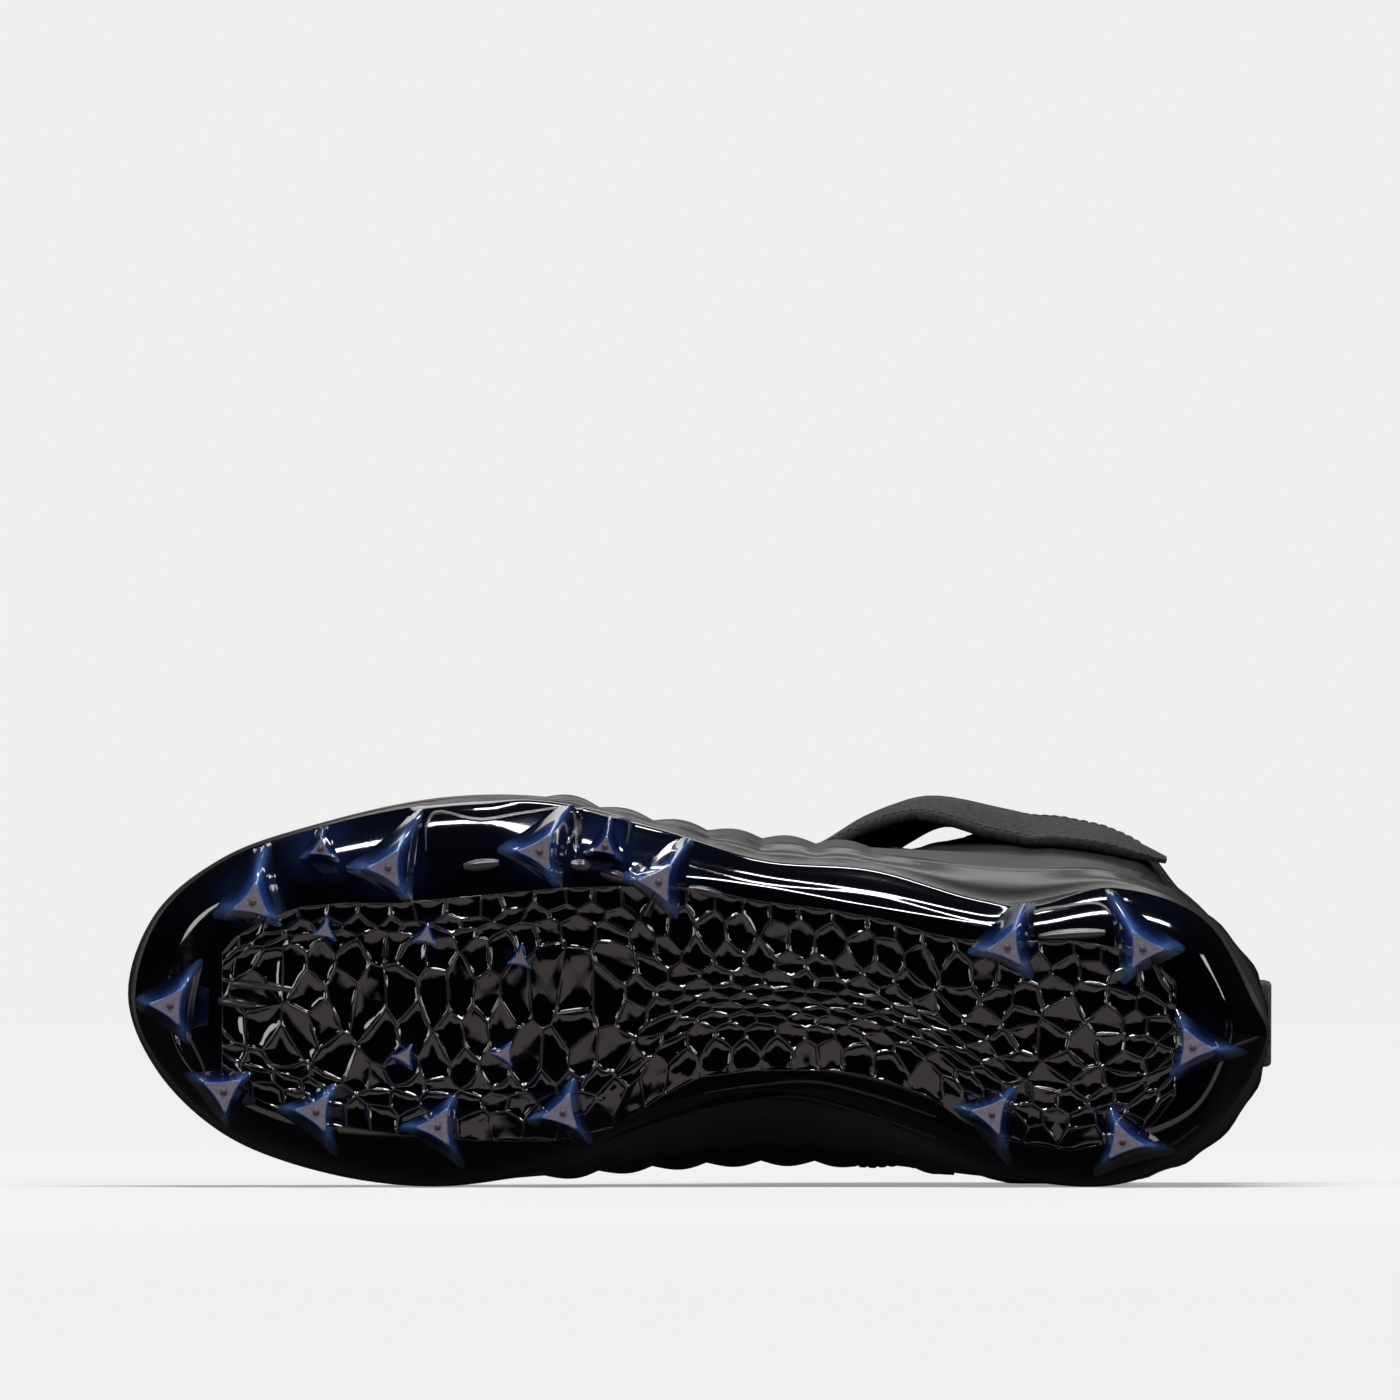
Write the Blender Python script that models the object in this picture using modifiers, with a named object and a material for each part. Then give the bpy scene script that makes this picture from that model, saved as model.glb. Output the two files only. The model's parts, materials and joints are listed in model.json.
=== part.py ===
"""American football cleat, left foot, lying on its medial side.

The shoe is modelled in its own frame: x runs from the back of the heel to the toe,
y points to the outer (lateral) side and z points up from the plane of the stud tips.
Closed rings around the last (floor edge, rim, flank and top edge) pass through the
control points of one short table, and plate, upper, insole and tongue are all taken
from these rings. At the end an empty turns the whole shoe over onto its medial side.
All lengths are in metres.
"""
import math
from collections import namedtuple

import bmesh
import bpy
from mathutils import Matrix, Vector
from mathutils.bvhtree import BVHTree

# Driving sizes of the last
LENGTH = 0.296            # back of the heel to the tip of the toe
BALL_WIDTH = 0.102        # across the ball
HEEL_WIDTH = 0.077        # across the heel
INSTEP_HEIGHT = 0.093     # plate to the throat edge over the instep
COLLAR_HEIGHT = 0.122     # plate to the edge of the collar
FLANK_RISE = 0.028        # plate to the widest line of the upper
TOE_SPRING = 0.018        # lift of the toe
ARCH_RISE = 0.0075        # lift of the plate under the arch

# Plate and studs
RIM_RISE = 0.014          # height of the plate's side wall
PLATE_FLOOR = 0.0028      # thickness under the foot
PLATE_SIDE = 0.0018       # thickness of the side wall
STUD_HEIGHT = 0.012       # main stud, below the plate
STUD_TIP = 0.0066         # reach of a stud's corners at its tip face
STUD_FLARE = 1.55         # how much wider a stud is at the plate
STUD_SINK = 0.0010        # how deep a stud's root lies in the plate
FIN_HEIGHT = 0.0075       # small edge fins
NUB_HEIGHT = 0.0040       # low inner nubs

# Upper
UPPER_WALL = 0.0022
RAND_STEP = 0.0007        # raised band above the plate's rim
RAND_RISE = 0.0065        # height of that band
EYESTAY_STEP = 0.0008     # raised facing along the throat
LASTING_MARGIN = 0.008    # part of the upper that turns in under the foot
PINCH_DEPTH = 0.003       # waist between the heel and the collar
RIB_RAISE = 0.0017        # padded ribs along both sides
EYELET_PAIRS = 5
EYELET_HOLE = 0.0042
EYELET_INSET = 0.0085     # eyelet centre to the throat edge

# Insole, tongue, lace, strap and pull tab
INSOLE_THICK = 0.0035
TONGUE_THICK = 0.0025
TONGUE_LAP = 0.009        # how far the tongue runs in under the facings
TONGUE_CROWN = 0.0012     # bow of the tongue across the throat
TONGUE_ABOVE = 0.010      # tongue above the collar
TONGUE_NECK = 0.72        # its width there, as a share
LACE_WIDE = 0.0036
STRAP_THICK = 0.0024
STRAP_WIDTH = 0.036
TAB_WIDTH = 0.022
TAB_HEIGHT = 0.034
TAB_THICK = 0.0022
TAB_STAND = 0.0034        # inner height of the pull tab's loop

# Clearances
GAP = 0.0003              # between pieces that touch
SOFT_GAP = 0.0005         # between soft pieces
STRAP_CLEAR = 0.0007      # least distance of the strap from the upper

# Sections of the last from heel to toe. Columns ending in _out are the outer side and
# in _in the inner side. Places along the shoe are shares of LENGTH, widths are shares
# of the local width, arch and spring of ARCH_RISE and TOE_SPRING, lean and rise of
# RIM_RISE, up of FLANK_RISE, collar and instep of COLLAR_HEIGHT and INSTEP_HEIGHT.
# The exponent full rounds the side from the flank to the top edge.
Section = namedtuple(
    "Section",
    "at lean arch spring floor_out floor_in rim_out rim_in rise_out rise_in"
    " set flank_out flank_in up top_at top_out top_in collar instep full pinch cells")
SECTIONS = (
    Section(0.005, 0.75, 0.25, 0, -0.025, 0.025, -0.04, 0.04, 1.15, 1.15,
            -0.001, -0.025, 0.025, 1.00, 0.022, 0, 0, 1.05, 0, 1.7, 1.0, 2),
    Section(0.017, 0.60, 0.15, 0, 0.09, 0.12, 0.065, 0.17, 1.10, 1.10,
            -0.003, 0.16, 0.22, 1.00, 0.030, 0.21, 0.21, 1.04, 0, 1.7, 1.0, 2),
    Section(0.060, 0.25, 0, 0, 0.22, 0.30, 0.34, 0.39, 0.93, 0.93,
            0, 0.365, 0.435, 1.00, 0.062, 0.385, 0.39, 1.00, 0, 1.7, 0.8, 3),
    Section(0.135, 0, 0, 0, 0.285, 0.39, 0.445, 0.54, 0.93, 0.93,
            0, 0.52, 0.54, 1.00, 0.132, 0.55, 0.505, 0.96, 0, 1.7, 0.6, 3),
    Section(0.236, 0, 0.2, 0, 0.29, 0.30, 0.393, 0.50, 1.00, 0.93,
            0, 0.555, 0.525, 1.15, 0.230, 0.60, 0.545, 0.96, 0, 1.7, 0.4, 4),
    Section(0.351, 0, 0.85, 0, 0.33, 0.155, 0.465, 0.295, 1.07, 0.93,
            0, 0.53, 0.44, 1.29, 0.328, 0.33, 0.30, 1.00, 0, 1.6, 0, 8),
    Section(0.446, 0, 1.00, 0, 0.35, 0.12, 0.447, 0.22, 1.07, 0.93,
            0, 0.507, 0.394, 1.29, 0.392, 0.216, 0.17, 0.45, 0.57, 1.5, 0, 8),
    Section(0.541, 0, 0.55, 0, 0.36, 0.155, 0.50, 0.27, 1.21, 0.93,
            0, 0.517, 0.381, 1.14, 0.459, 0.197, 0.128, 0, 1.00, 1.5, 0, 8),
    Section(0.635, 0, 0.10, 0, 0.343, 0.225, 0.549, 0.368, 1.36, 0.93,
            0, 0.564, 0.397, 1.00, 0.524, 0.182, 0.096, 0, 0.87, 1.6, 0, 3),
    Section(0.730, 0, 0, 0, 0.333, 0.275, 0.544, 0.42, 1.21, 1.00,
            0, 0.56, 0.414, 0.93, 0.581, 0.168, 0.074, 0, 0.775, 1.7, 0, 3),
    Section(0.831, 0, 0, 0.17, 0.353, 0.275, 0.485, 0.377, 1.00, 0.93,
            0, 0.495, 0.387, 0.96, 0.628, 0.152, 0.049, 0, 0.71, 1.8, 0, 3),
    Section(0.916, -0.35, 0, 0.47, 0.314, 0.215, 0.397, 0.27, 0.86, 0.86,
            0, 0.407, 0.294, 1.07, 0.659, 0.123, 0.015, 0, 0.667, 1.9, 0, 3),
    Section(0.973, -0.60, 0, 0.78, 0.225, 0.127, 0.25, 0.108, 0.79, 0.79,
            0.003, 0.265, 0.127, 1.21, 0.676, 0.088, -0.025, 0, 0.645, 2.0, 0, 2),
    Section(0.993, -0.75, 0, 0.95, 0.039, -0.039, 0.039, -0.039, 0.79, 0.79,
            0.007, 0.059, -0.059, 1.29, 0.681, 0.056, -0.056, 0, 0.64, 2.0, 0, 3),
)
WAIST_AT = 0.20           # the local width grows from the heel's to the ball's
BALL_AT = 0.62            # between these shares of the length
COLLAR_FRONT = 5          # table row at the front corner of the collar
RIB_FIRST = 5             # table rows between which the ribs lie
RIB_LAST = 8
RIB_CELLS = 4             # sampled steps in one rib

# Studs: place as a share of LENGTH and of the local width from the middle line, the
# direction of the corner that runs out into a ridge, in degrees from the toe towards
# the outer side, and the ridge's reach as a multiple of the other corners' reach.
Stud = namedtuple("Stud", "at across turn ridge")
MAIN_STUDS = (
    Stud(0.962, 0.031, 124, 1.3),
    Stud(0.890, 0.294, 100, 1.7),
    Stud(0.772, 0.382, 119, 1.5),
    Stud(0.640, 0.424, 122, 1.5),
    Stud(0.536, 0.357, 125, 1.5),
    Stud(0.915, -0.186, 265, 1.0),
    Stud(0.834, -0.236, 245, 1.1),
    Stud(0.728, -0.272, 238, 1.1),
    Stud(0.619, -0.236, 228, 1.1),
    Stud(0.232, 0.245, 112, 1.6),
    Stud(0.114, 0.242, 60, 1.6),
    Stud(0.070, -0.087, 185, 1.2),
    Stud(0.245, -0.310, 250, 1.2),
    Stud(0.131, -0.404, 190, 1.2),
)
EDGE_FINS = (
    Stud(0.831, 0.430, 95, 1.3),
    Stud(0.583, 0.440, 100, 1.3),
)
INNER_NUBS = (
    Stud(0.827, 0.222, 100, 1.0),
    Stud(0.739, 0.209, 100, 1.0),
    Stud(0.657, 0.153, 100, 1.0),
    Stud(0.757, -0.095, 240, 1.0),
    Stud(0.670, -0.087, 240, 1.0),
)

# Strap route over the upper: row is a place between table rows, share a height between
# the flank and the top edge, stand the distance off the upper and wide a share of
# STRAP_WIDTH, and bow is how far the two edges lie nearer to the foot than the middle. It
# starts on the inner side of the ankle and its free end points back.
Way = namedtuple("Way", "row outer share stand wide bow")
SEATED_STOPS = 4          # stops in which the strap lies close on the upper
STRAIGHT_FROM = 12        # stop from which the free end runs nearly straight
STRAP_ROUTE = (
    Way(4.45, False, 0.54, 0.0006, 0.72, 0.0000),
    Way(4.75, False, 0.55, 0.0026, 0.85, 0.0000),
    Way(5.05, False, 0.57, 0.0058, 0.95, 0.0020),
    Way(5.40, False, 0.61, 0.0078, 1.00, 0.0030),
    Way(5.80, False, 0.70, 0.0078, 1.00, 0.0030),
    Way(6.10, False, 0.88, 0.0115, 1.00, 0.0010),
    Way(6.20, False, 1.00, 0.0130, 1.00, 0.0000),
    Way(6.20, True, 1.00, 0.0130, 1.00, 0.0000),
    Way(6.10, True, 0.88, 0.0120, 1.00, 0.0010),
    Way(5.75, True, 0.70, 0.0115, 1.00, 0.0030),
    Way(5.30, True, 0.60, 0.0128, 1.00, 0.0045),
    Way(4.95, True, 0.55, 0.0163, 1.00, 0.0050),
    Way(4.50, True, 0.53, 0.0173, 1.00, 0.0050),
    Way(4.00, True, 0.52, 0.0116, 1.00, 0.0050),
    Way(3.50, True, 0.51, 0.0085, 1.00, 0.0045),
    Way(3.20, True, 0.51, 0.0083, 0.92, 0.0035),
    Way(2.90, True, 0.51, 0.0090, 0.72, 0.0020),
    Way(2.62, True, 0.51, 0.0096, 0.30, 0.0005),
)

# Finishes: colour, roughness and metallic value
FINISHES = {
    "plate_gloss": ((0.010, 0.010, 0.016, 1), 0.12, 0.0),
    "upper_skin": ((0.020, 0.018, 0.018, 1), 0.55, 0.0),
    "insole_cloth": ((0.020, 0.020, 0.022, 1), 0.85, 0.0),
    "tongue_knit": ((0.018, 0.017, 0.018, 1), 0.80, 0.0),
    "lace_cord": ((0.015, 0.015, 0.016, 1), 0.75, 0.0),
    "strap_web": ((0.020, 0.018, 0.018, 1), 0.70, 0.0),
    "tab_web": ((0.016, 0.016, 0.017, 1), 0.60, 0.0),
}
# Relative weights of the materials, for finding the side that the shoe rests on
DENSITY = {"outsole": 1150.0, "upper": 750.0, "insole": 300.0}
SOFT_DENSITY = 450.0


def clear_scene():
    for old in list(bpy.data.objects):
        bpy.data.objects.remove(old, do_unlink=True)


def collection(name):
    made = bpy.data.collections.new(name)
    bpy.context.scene.collection.children.link(made)
    return made


def finish(name):
    colour, rough, metal = FINISHES[name]
    material = bpy.data.materials.new(name)
    material.use_nodes = True
    shader = material.node_tree.nodes["Principled BSDF"]
    shader.inputs["Base Color"].default_value = colour
    shader.inputs["Roughness"].default_value = rough
    shader.inputs["Metallic"].default_value = metal
    return material


def mesh_object(name, points, faces, home, material=None, closed=True):
    """A mesh from points and faces, with doubled points merged."""
    bm = bmesh.new()
    corners = [bm.verts.new(p) for p in points]
    for face in faces:
        ring = list(dict.fromkeys(face))
        if len(ring) > 2:
            bm.faces.new([corners[i] for i in ring])
    bmesh.ops.remove_doubles(bm, verts=bm.verts, dist=1e-6)
    bmesh.ops.dissolve_degenerate(bm, edges=bm.edges, dist=1e-6)
    if closed:
        bmesh.ops.recalc_face_normals(bm, faces=bm.faces)
    mesh = bpy.data.meshes.new(name)
    bm.to_mesh(mesh)
    bm.free()
    made = bpy.data.objects.new(name, mesh)
    home.objects.link(made)
    if material:
        mesh.materials.append(material)
    mesh.shade_smooth()
    mesh.set_sharp_from_angle(angle=math.radians(40))
    return made


def ease(share):
    share = min(1.0, max(0.0, share))
    return share * share * (3 - 2 * share)


def local_width(at):
    grown = ease((at - WAIST_AT) / (BALL_AT - WAIST_AT))
    return HEEL_WIDTH + (BALL_WIDTH - HEEL_WIDTH) * grown


def control_points(row, outer):
    """Floor edge, rim, flank and top edge of one table row on one side."""
    sign = 1 if outer else -1
    wide = local_width(row.at)
    top_wide = local_width(row.top_at)
    floor_up = STUD_HEIGHT + row.arch * ARCH_RISE + row.spring * TOE_SPRING
    rise = row.rise_out if outer else row.rise_in
    half = {
        "floor": row.floor_out if outer else row.floor_in,
        "rim": row.rim_out if outer else row.rim_in,
        "flank": row.flank_out if outer else row.flank_in,
        "top": row.top_out if outer else row.top_in,
    }
    top_up = STUD_HEIGHT + row.collar * COLLAR_HEIGHT + row.instep * INSTEP_HEIGHT
    return {
        "floor": Vector((row.at * LENGTH + row.lean * RIM_RISE,
                         sign * half["floor"] * wide, floor_up)),
        "rim": Vector((row.at * LENGTH, sign * half["rim"] * wide,
                       floor_up + rise * RIM_RISE)),
        "flank": Vector(((row.at + row.set) * LENGTH, sign * half["flank"] * wide,
                         STUD_HEIGHT + row.up * FLANK_RISE)),
        "top": Vector((row.top_at * LENGTH, sign * half["top"] * top_wide, top_up)),
    }


def spline(before, start, end, after, share):
    """Centripetal curve between two control points."""
    knots = [0.0]
    for a, b in ((before, start), (start, end), (end, after)):
        knots.append(knots[-1] + max((b - a).length, 1e-6) ** 0.5)
    t = knots[1] + (knots[2] - knots[1]) * share

    def mix(a, b, lo, hi):
        return a * ((hi - t) / (hi - lo)) + b * ((t - lo) / (hi - lo))

    p01 = mix(before, start, knots[0], knots[1])
    p12 = mix(start, end, knots[1], knots[2])
    p23 = mix(end, after, knots[2], knots[3])
    p012 = mix(p01, p12, knots[0], knots[2])
    p123 = mix(p12, p23, knots[1], knots[3])
    return mix(p012, p123, knots[1], knots[2])


class Last:
    """The rings around the foot, sampled from heel to toe and back."""

    def __init__(self):
        last_row = len(SECTIONS) - 1
        order = [(i, True) for i in range(last_row + 1)]
        order += [(i, False) for i in range(last_row - 1, 0, -1)]
        controls = [control_points(SECTIONS[i], outer) for i, outer in order]
        count = len(order)
        self.rings = {name: [] for name in ("floor", "rim", "flank", "top")}
        self.full, self.pinch, self.rib, self.row_start = [], [], [], {}
        for k in range(count):
            i = order[k][0]
            j = order[(k + 1) % count][0]
            cells = SECTIONS[min(i, j)].cells
            if order[k][1]:
                self.row_start[i] = len(self.full)
            for step in range(cells):
                share = step / cells
                for name, ring in self.rings.items():
                    ring.append(spline(controls[k - 1][name], controls[k][name],
                                       controls[(k + 1) % count][name],
                                       controls[(k + 2) % count][name], share))
                a, b = SECTIONS[i], SECTIONS[j]
                self.full.append(a.full + (b.full - a.full) * share)
                self.pinch.append(a.pinch + (b.pinch - a.pinch) * share)
                self.rib.append(self.rib_share(i, j, step))
        self.count = len(self.full)
        self.toe = self.count // 2
        floor = self.rings["floor"]
        for k in range(1, self.toe):
            level = (floor[k].z + floor[-k].z) / 2
            floor[k].z = floor[-k].z = level
        rim = self.rings["rim"]
        self.inward = []
        for k in range(self.count):
            along = rim[(k + 1) % self.count] - rim[k - 1]
            self.inward.append(Vector((along.y, -along.x, 0)).normalized())

    def rib_share(self, i, j, step):
        """Height of the padded ribs here, from 0 in a groove to 1 on a crown."""
        low = min(i, j)
        if not (RIB_FIRST <= low < RIB_LAST):
            return 0.0
        cells = SECTIONS[low].cells
        place = step if i < j else cells - step
        return abs(math.sin(math.pi * place / RIB_CELLS))

    def mate(self, k):
        """The sample across the shoe from sample k."""
        return (self.count - k) % self.count

    def floor_up(self, along):
        """Height of the plate's underside at a place along the shoe."""
        floor = self.rings["floor"]
        for k in range(self.toe):
            a, b = floor[k], floor[k + 1]
            if a.x <= along <= b.x:
                return a.z + (b.z - a.z) * (along - a.x) / max(b.x - a.x, 1e-9)
        return floor[0].z if along < floor[0].x else floor[self.toe].z

    def side_wall(self, k):
        """Outer side of the plate from floor edge to rim: a boat-shaped section."""
        floor, rim = self.rings["floor"][k], self.rings["rim"][k]
        knee = Vector((floor.x + (rim.x - floor.x) * 0.72,
                       floor.y + (rim.y - floor.y) * 0.72,
                       floor.z + (rim.z - floor.z) * 0.16))
        levels = []
        for share in (0.0, 0.35, 0.68, 1.0):
            levels.append(floor * (1 - share) ** 2 + knee * (2 * share * (1 - share))
                          + rim * share ** 2)
        return levels

    def inner_wall(self, k, extra):
        """The plate's inner side, moved in by a further clearance."""
        walls = (PLATE_SIDE * 1.3, PLATE_SIDE * 1.15, PLATE_SIDE, PLATE_SIDE * 0.8)
        lifts = (PLATE_FLOOR, PLATE_SIDE * 0.8, PLATE_SIDE * 0.3, 0.0)
        made = []
        for point, wall, lift in zip(self.side_wall(k), walls, lifts):
            up = lift + (extra if lift else 0.0)
            made.append(point + self.inward[k] * (wall + extra) + Vector((0, 0, up)))
        made[0].z = self.floor_up(made[0].x) + PLATE_FLOOR + extra
        return made

    def middle(self, k):
        """A point on the shoe's middle line that the margin at sample k turns towards."""
        floor = self.rings["floor"]
        heel = floor[0].x + HEEL_WIDTH * 0.45
        toe = floor[self.toe].x - BALL_WIDTH * 0.45
        across = (floor[k].y + floor[self.mate(k)].y) / 2
        return Vector((min(toe, max(heel, floor[k].x)), across, 0))

    def side_point(self, k, share):
        """The upper between its widest line (0) and its top edge (1)."""
        flank, top = self.rings["flank"][k], self.rings["top"][k]
        angle = share * math.pi / 2
        power = 2.0 / self.full[k]
        across = 1 - math.cos(angle) ** power if share < 1 else 1.0
        rise = math.sin(angle) ** power if share > 0 else 0.0
        point = Vector((flank.x + (top.x - flank.x) * across,
                        flank.y + (top.y - flank.y) * across,
                        flank.z + (top.z - flank.z) * rise))
        waist = self.pinch[k] * PINCH_DEPTH * math.sin(math.pi * rise)
        bump = self.rib[k] * RIB_RAISE * math.sin(math.pi * min(1, max(0, share + 0.3) / 0.95))
        return point + self.inward[k] * (waist - max(0.0, bump))


def disc_faces(first, count, cross):
    """Faces across a ring whose samples mirror each other, with cross inner points."""
    half = count // 2

    def line(row):
        if row in (0, half):
            return [first + row] * (cross + 2)
        inner = [("mid", row, c) for c in range(cross)]
        return [first + row] + inner + [first + count - row]

    faces = []
    for row in range(half):
        a, b = line(row), line(row + 1)
        for c in range(cross + 1):
            faces.append((a[c], a[c + 1], b[c + 1], b[c]))
    return faces


def close_ring(points, faces, first, count, cross, bow=0.0):
    """Adds the inner points of a ring and the faces that close it."""
    half = count // 2
    place = {}
    for row in range(1, half):
        a, b = points[first + row], points[first + count - row]
        for c in range(cross):
            share = (c + 1) / (cross + 1)
            place[("mid", row, c)] = len(points)
            lift = bow * math.sin(math.pi * share)
            points.append(a.lerp(b, share) + Vector((0, 0, lift)))
    for face in disc_faces(first, count, cross):
        faces.append(tuple(place.get(i, i) for i in face))


def band(faces, low, high, count):
    """Triangles between two closed rings, cut the same way on every piece."""
    for k in range(count):
        n = (k + 1) % count
        faces.append((low + k, low + n, high + n))
        faces.append((low + k, high + n, high + k))


def build_plate(last, home, material):
    """The moulded plate as a filled boat, before studs and inner form."""
    points, faces = [], []
    count = last.count
    outer = [last.side_wall(k) for k in range(count)]
    levels = len(outer[0])
    for level in range(levels):
        points += [outer[k][level] for k in range(count)]
    for level in range(levels - 1):
        band(faces, level * count, (level + 1) * count, count)
    close_ring(points, faces, 0, count, 1)
    close_ring(points, faces, (levels - 1) * count, count, 1)
    return mesh_object("outsole", points, faces, home, material)


def hollow_plate(last, plate, cutters):
    """Takes the foot's form out of the plate, down to its floor and side wall."""
    points, faces = [], []
    count = last.count
    inner = [last.inner_wall(k, 0.0) for k in range(count)]
    levels = len(inner[0])
    for level in range(levels):
        points += [inner[k][level] for k in range(count)]
    points += [inner[k][-1] + Vector((0, 0, RIM_RISE)) for k in range(count)]
    for level in range(levels):
        band(faces, level * count, (level + 1) * count, count)
    close_ring(points, faces, 0, count, 1)
    close_ring(points, faces, levels * count, count, 1)
    form = mesh_object("foot_form", points, faces, cutters)
    form.hide_render = True
    form.display_type = "WIRE"
    cut = plate.modifiers.new("foot form", "BOOLEAN")
    cut.operation = "DIFFERENCE"
    cut.object = form
    cut.solver = "EXACT"


def stud_outline(reach, ridge, turn, steps):
    """A triangle with hollow sides, one corner drawn out into a ridge."""
    made = []
    for n in range(3 * steps):
        share = n % steps / steps
        hollow = 1.0 if share == 0 else 0.50
        long = ridge if n == 0 else 1.0
        angle = math.radians(turn) + 2 * math.pi * n / (3 * steps)
        made.append((reach * hollow * long, angle))
    return made


def build_stud(last, tree, spec, tip, height, steps, home, name):
    """One lug: hollow-sided tip face, flaring down to a root sunk in the plate."""
    middle = Vector((spec.at * LENGTH, spec.across * local_width(spec.at), 0))
    spring = last.floor_up(middle.x) - STUD_HEIGHT
    arch_free = spring if spec.at > BALL_AT else 0.0
    tip_up = arch_free + STUD_HEIGHT - height
    levels = ((0.0, 1.0, 1.0), (0.42, 1.14, 1.0), (0.80, 1.35, 1.2))
    points = []

    def surface(x, y):
        hit = tree.ray_cast(Vector((x, y, -1.0)), Vector((0, 0, 1)))[0]
        return None if hit is None else hit.z

    root_up = surface(middle.x, middle.y)
    for share, wide, draw in levels:
        for reach, angle in stud_outline(tip, 1.0, spec.turn, steps):
            long = wide * (draw if abs(angle - math.radians(spec.turn)) < 1e-6 else 1.0)
            points.append(Vector((middle.x + reach * long * math.cos(angle),
                                  middle.y + reach * long * math.sin(angle),
                                  tip_up + (root_up - tip_up) * share)))
    for reach, angle in stud_outline(tip * STUD_FLARE, spec.ridge, spec.turn, steps):
        height_here = None
        while height_here is None:
            x = middle.x + reach * math.cos(angle)
            y = middle.y + reach * math.sin(angle)
            height_here = surface(x, y)
            reach *= 0.9
        points.append(Vector((x, y, height_here + STUD_SINK)))
    ring = 3 * steps
    faces = [tuple(range(ring))]
    for level in range(3):
        band(faces, level * ring, (level + 1) * ring, ring)
    points.append(Vector((middle.x, middle.y, root_up + STUD_SINK)))
    for n in range(ring):
        faces.append((3 * ring + n, 3 * ring + (n + 1) % ring, 4 * ring))
    made = mesh_object(name, points, faces, home)
    made.hide_render = True
    made.display_type = "WIRE"
    return made


def add_studs(last, plate, cutters):
    tree = BVHTree.FromObject(plate, bpy.context.evaluated_depsgraph_get())
    roots = collection("stud shapes")
    bpy.context.scene.collection.children.unlink(roots)
    cutters.children.link(roots)
    kinds = ((MAIN_STUDS, STUD_TIP, STUD_HEIGHT, 2, "main"),
             (EDGE_FINS, STUD_TIP * 0.55, FIN_HEIGHT, 2, "fin"),
             (INNER_NUBS, STUD_TIP * 0.5, NUB_HEIGHT, 1, "nub"))
    for specs, tip, height, steps, kind in kinds:
        for n, spec in enumerate(specs):
            name = f"{kind}_{n + 1:02d}"
            build_stud(last, tree, spec, tip, height, steps, roots, name)
    join = plate.modifiers.new("studs", "BOOLEAN")
    join.operation = "UNION"
    join.operand_type = "COLLECTION"
    join.collection = roots
    join.solver = "EXACT"


SIDE_SHARES = (0.0, 0.25, 0.5, 0.78, 1.0)


def upper_profile(last, k):
    """The upper's outer face at one sample, from the lasting margin to the top edge."""
    inner = last.inner_wall(k, GAP)
    flank = last.side_point(k, 0.0)
    rim = last.rings["rim"][k]
    inward = last.inward[k]
    turned = last.middle(k) - inner[0]
    turned.z = 0
    margin = inner[0] + turned.normalized() * LASTING_MARGIN
    margin.z = last.floor_up(margin.x) + PLATE_FLOOR + GAP
    rim_seat = inner[3] + Vector((0, 0, GAP * 1.5))
    rise = flank.z - rim.z
    band_up = min(RAND_RISE, rise * 0.5)
    low = rim.lerp(flank, 0.20)
    low.z = rim.z + rise * 0.10 + GAP
    high = rim.lerp(flank, 0.70)
    high.z = rim.z + band_up
    levels = [margin, inner[0], inner[1], inner[2], rim_seat, low - inward * RAND_STEP,
              high - inward * RAND_STEP, high + Vector((0, 0, RAND_STEP))]
    for share in SIDE_SHARES:
        point = last.side_point(k, share)
        if share > 0.8 and last.row_start[COLLAR_FRONT] <= min(k, last.mate(k)):
            point = point - inward * EYESTAY_STEP * 0.4 + Vector((0, 0, EYESTAY_STEP))
        levels.append(point)
    return levels


def build_upper(last, home, cutters, material):
    profiles = [upper_profile(last, k) for k in range(last.count)]
    levels = len(profiles[0])
    points = []
    for level in range(levels):
        points += [profile[level] for profile in profiles]
    faces = []
    for level in range(levels - 1):
        band(faces, level * last.count, (level + 1) * last.count, last.count)
    faces = [face[::-1] for face in faces]
    upper = mesh_object("upper", points, faces, home, material, closed=False)
    wall = upper.modifiers.new("wall", "SOLIDIFY")
    wall.thickness = UPPER_WALL
    wall.offset = -1
    wall.use_even_offset = True
    holes = collection("eyelet shapes")
    bpy.context.scene.collection.children.unlink(holes)
    cutters.children.link(holes)
    for n, (place, normal) in enumerate(eyelets(last)):
        spin = Vector((0, 0, 1)).rotation_difference(normal).to_matrix().to_4x4()
        bm = bmesh.new()
        bmesh.ops.create_cone(bm, cap_ends=True, segments=6, radius1=EYELET_HOLE / 2,
                              radius2=EYELET_HOLE / 2, depth=UPPER_WALL * 6,
                              matrix=Matrix.Translation(place) @ spin)
        mesh = bpy.data.meshes.new(f"eyelet_{n + 1:02d}")
        bm.to_mesh(mesh)
        bm.free()
        hole = bpy.data.objects.new(mesh.name, mesh)
        hole.hide_render = True
        hole.display_type = "WIRE"
        holes.objects.link(hole)
    punch = upper.modifiers.new("eyelets", "BOOLEAN")
    punch.operation = "DIFFERENCE"
    punch.operand_type = "COLLECTION"
    punch.collection = holes
    punch.solver = "EXACT"
    return upper


def facing_point(last, k, inset):
    """A point on the upper's outer face at a distance below its top edge."""
    top = last.side_point(k, 1.0)
    low, high = 0.0, 1.0
    for _ in range(20):
        middle = (low + high) / 2
        if (last.side_point(k, middle) - top).length > inset:
            low = middle
        else:
            high = middle
    return last.side_point(k, low)


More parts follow.
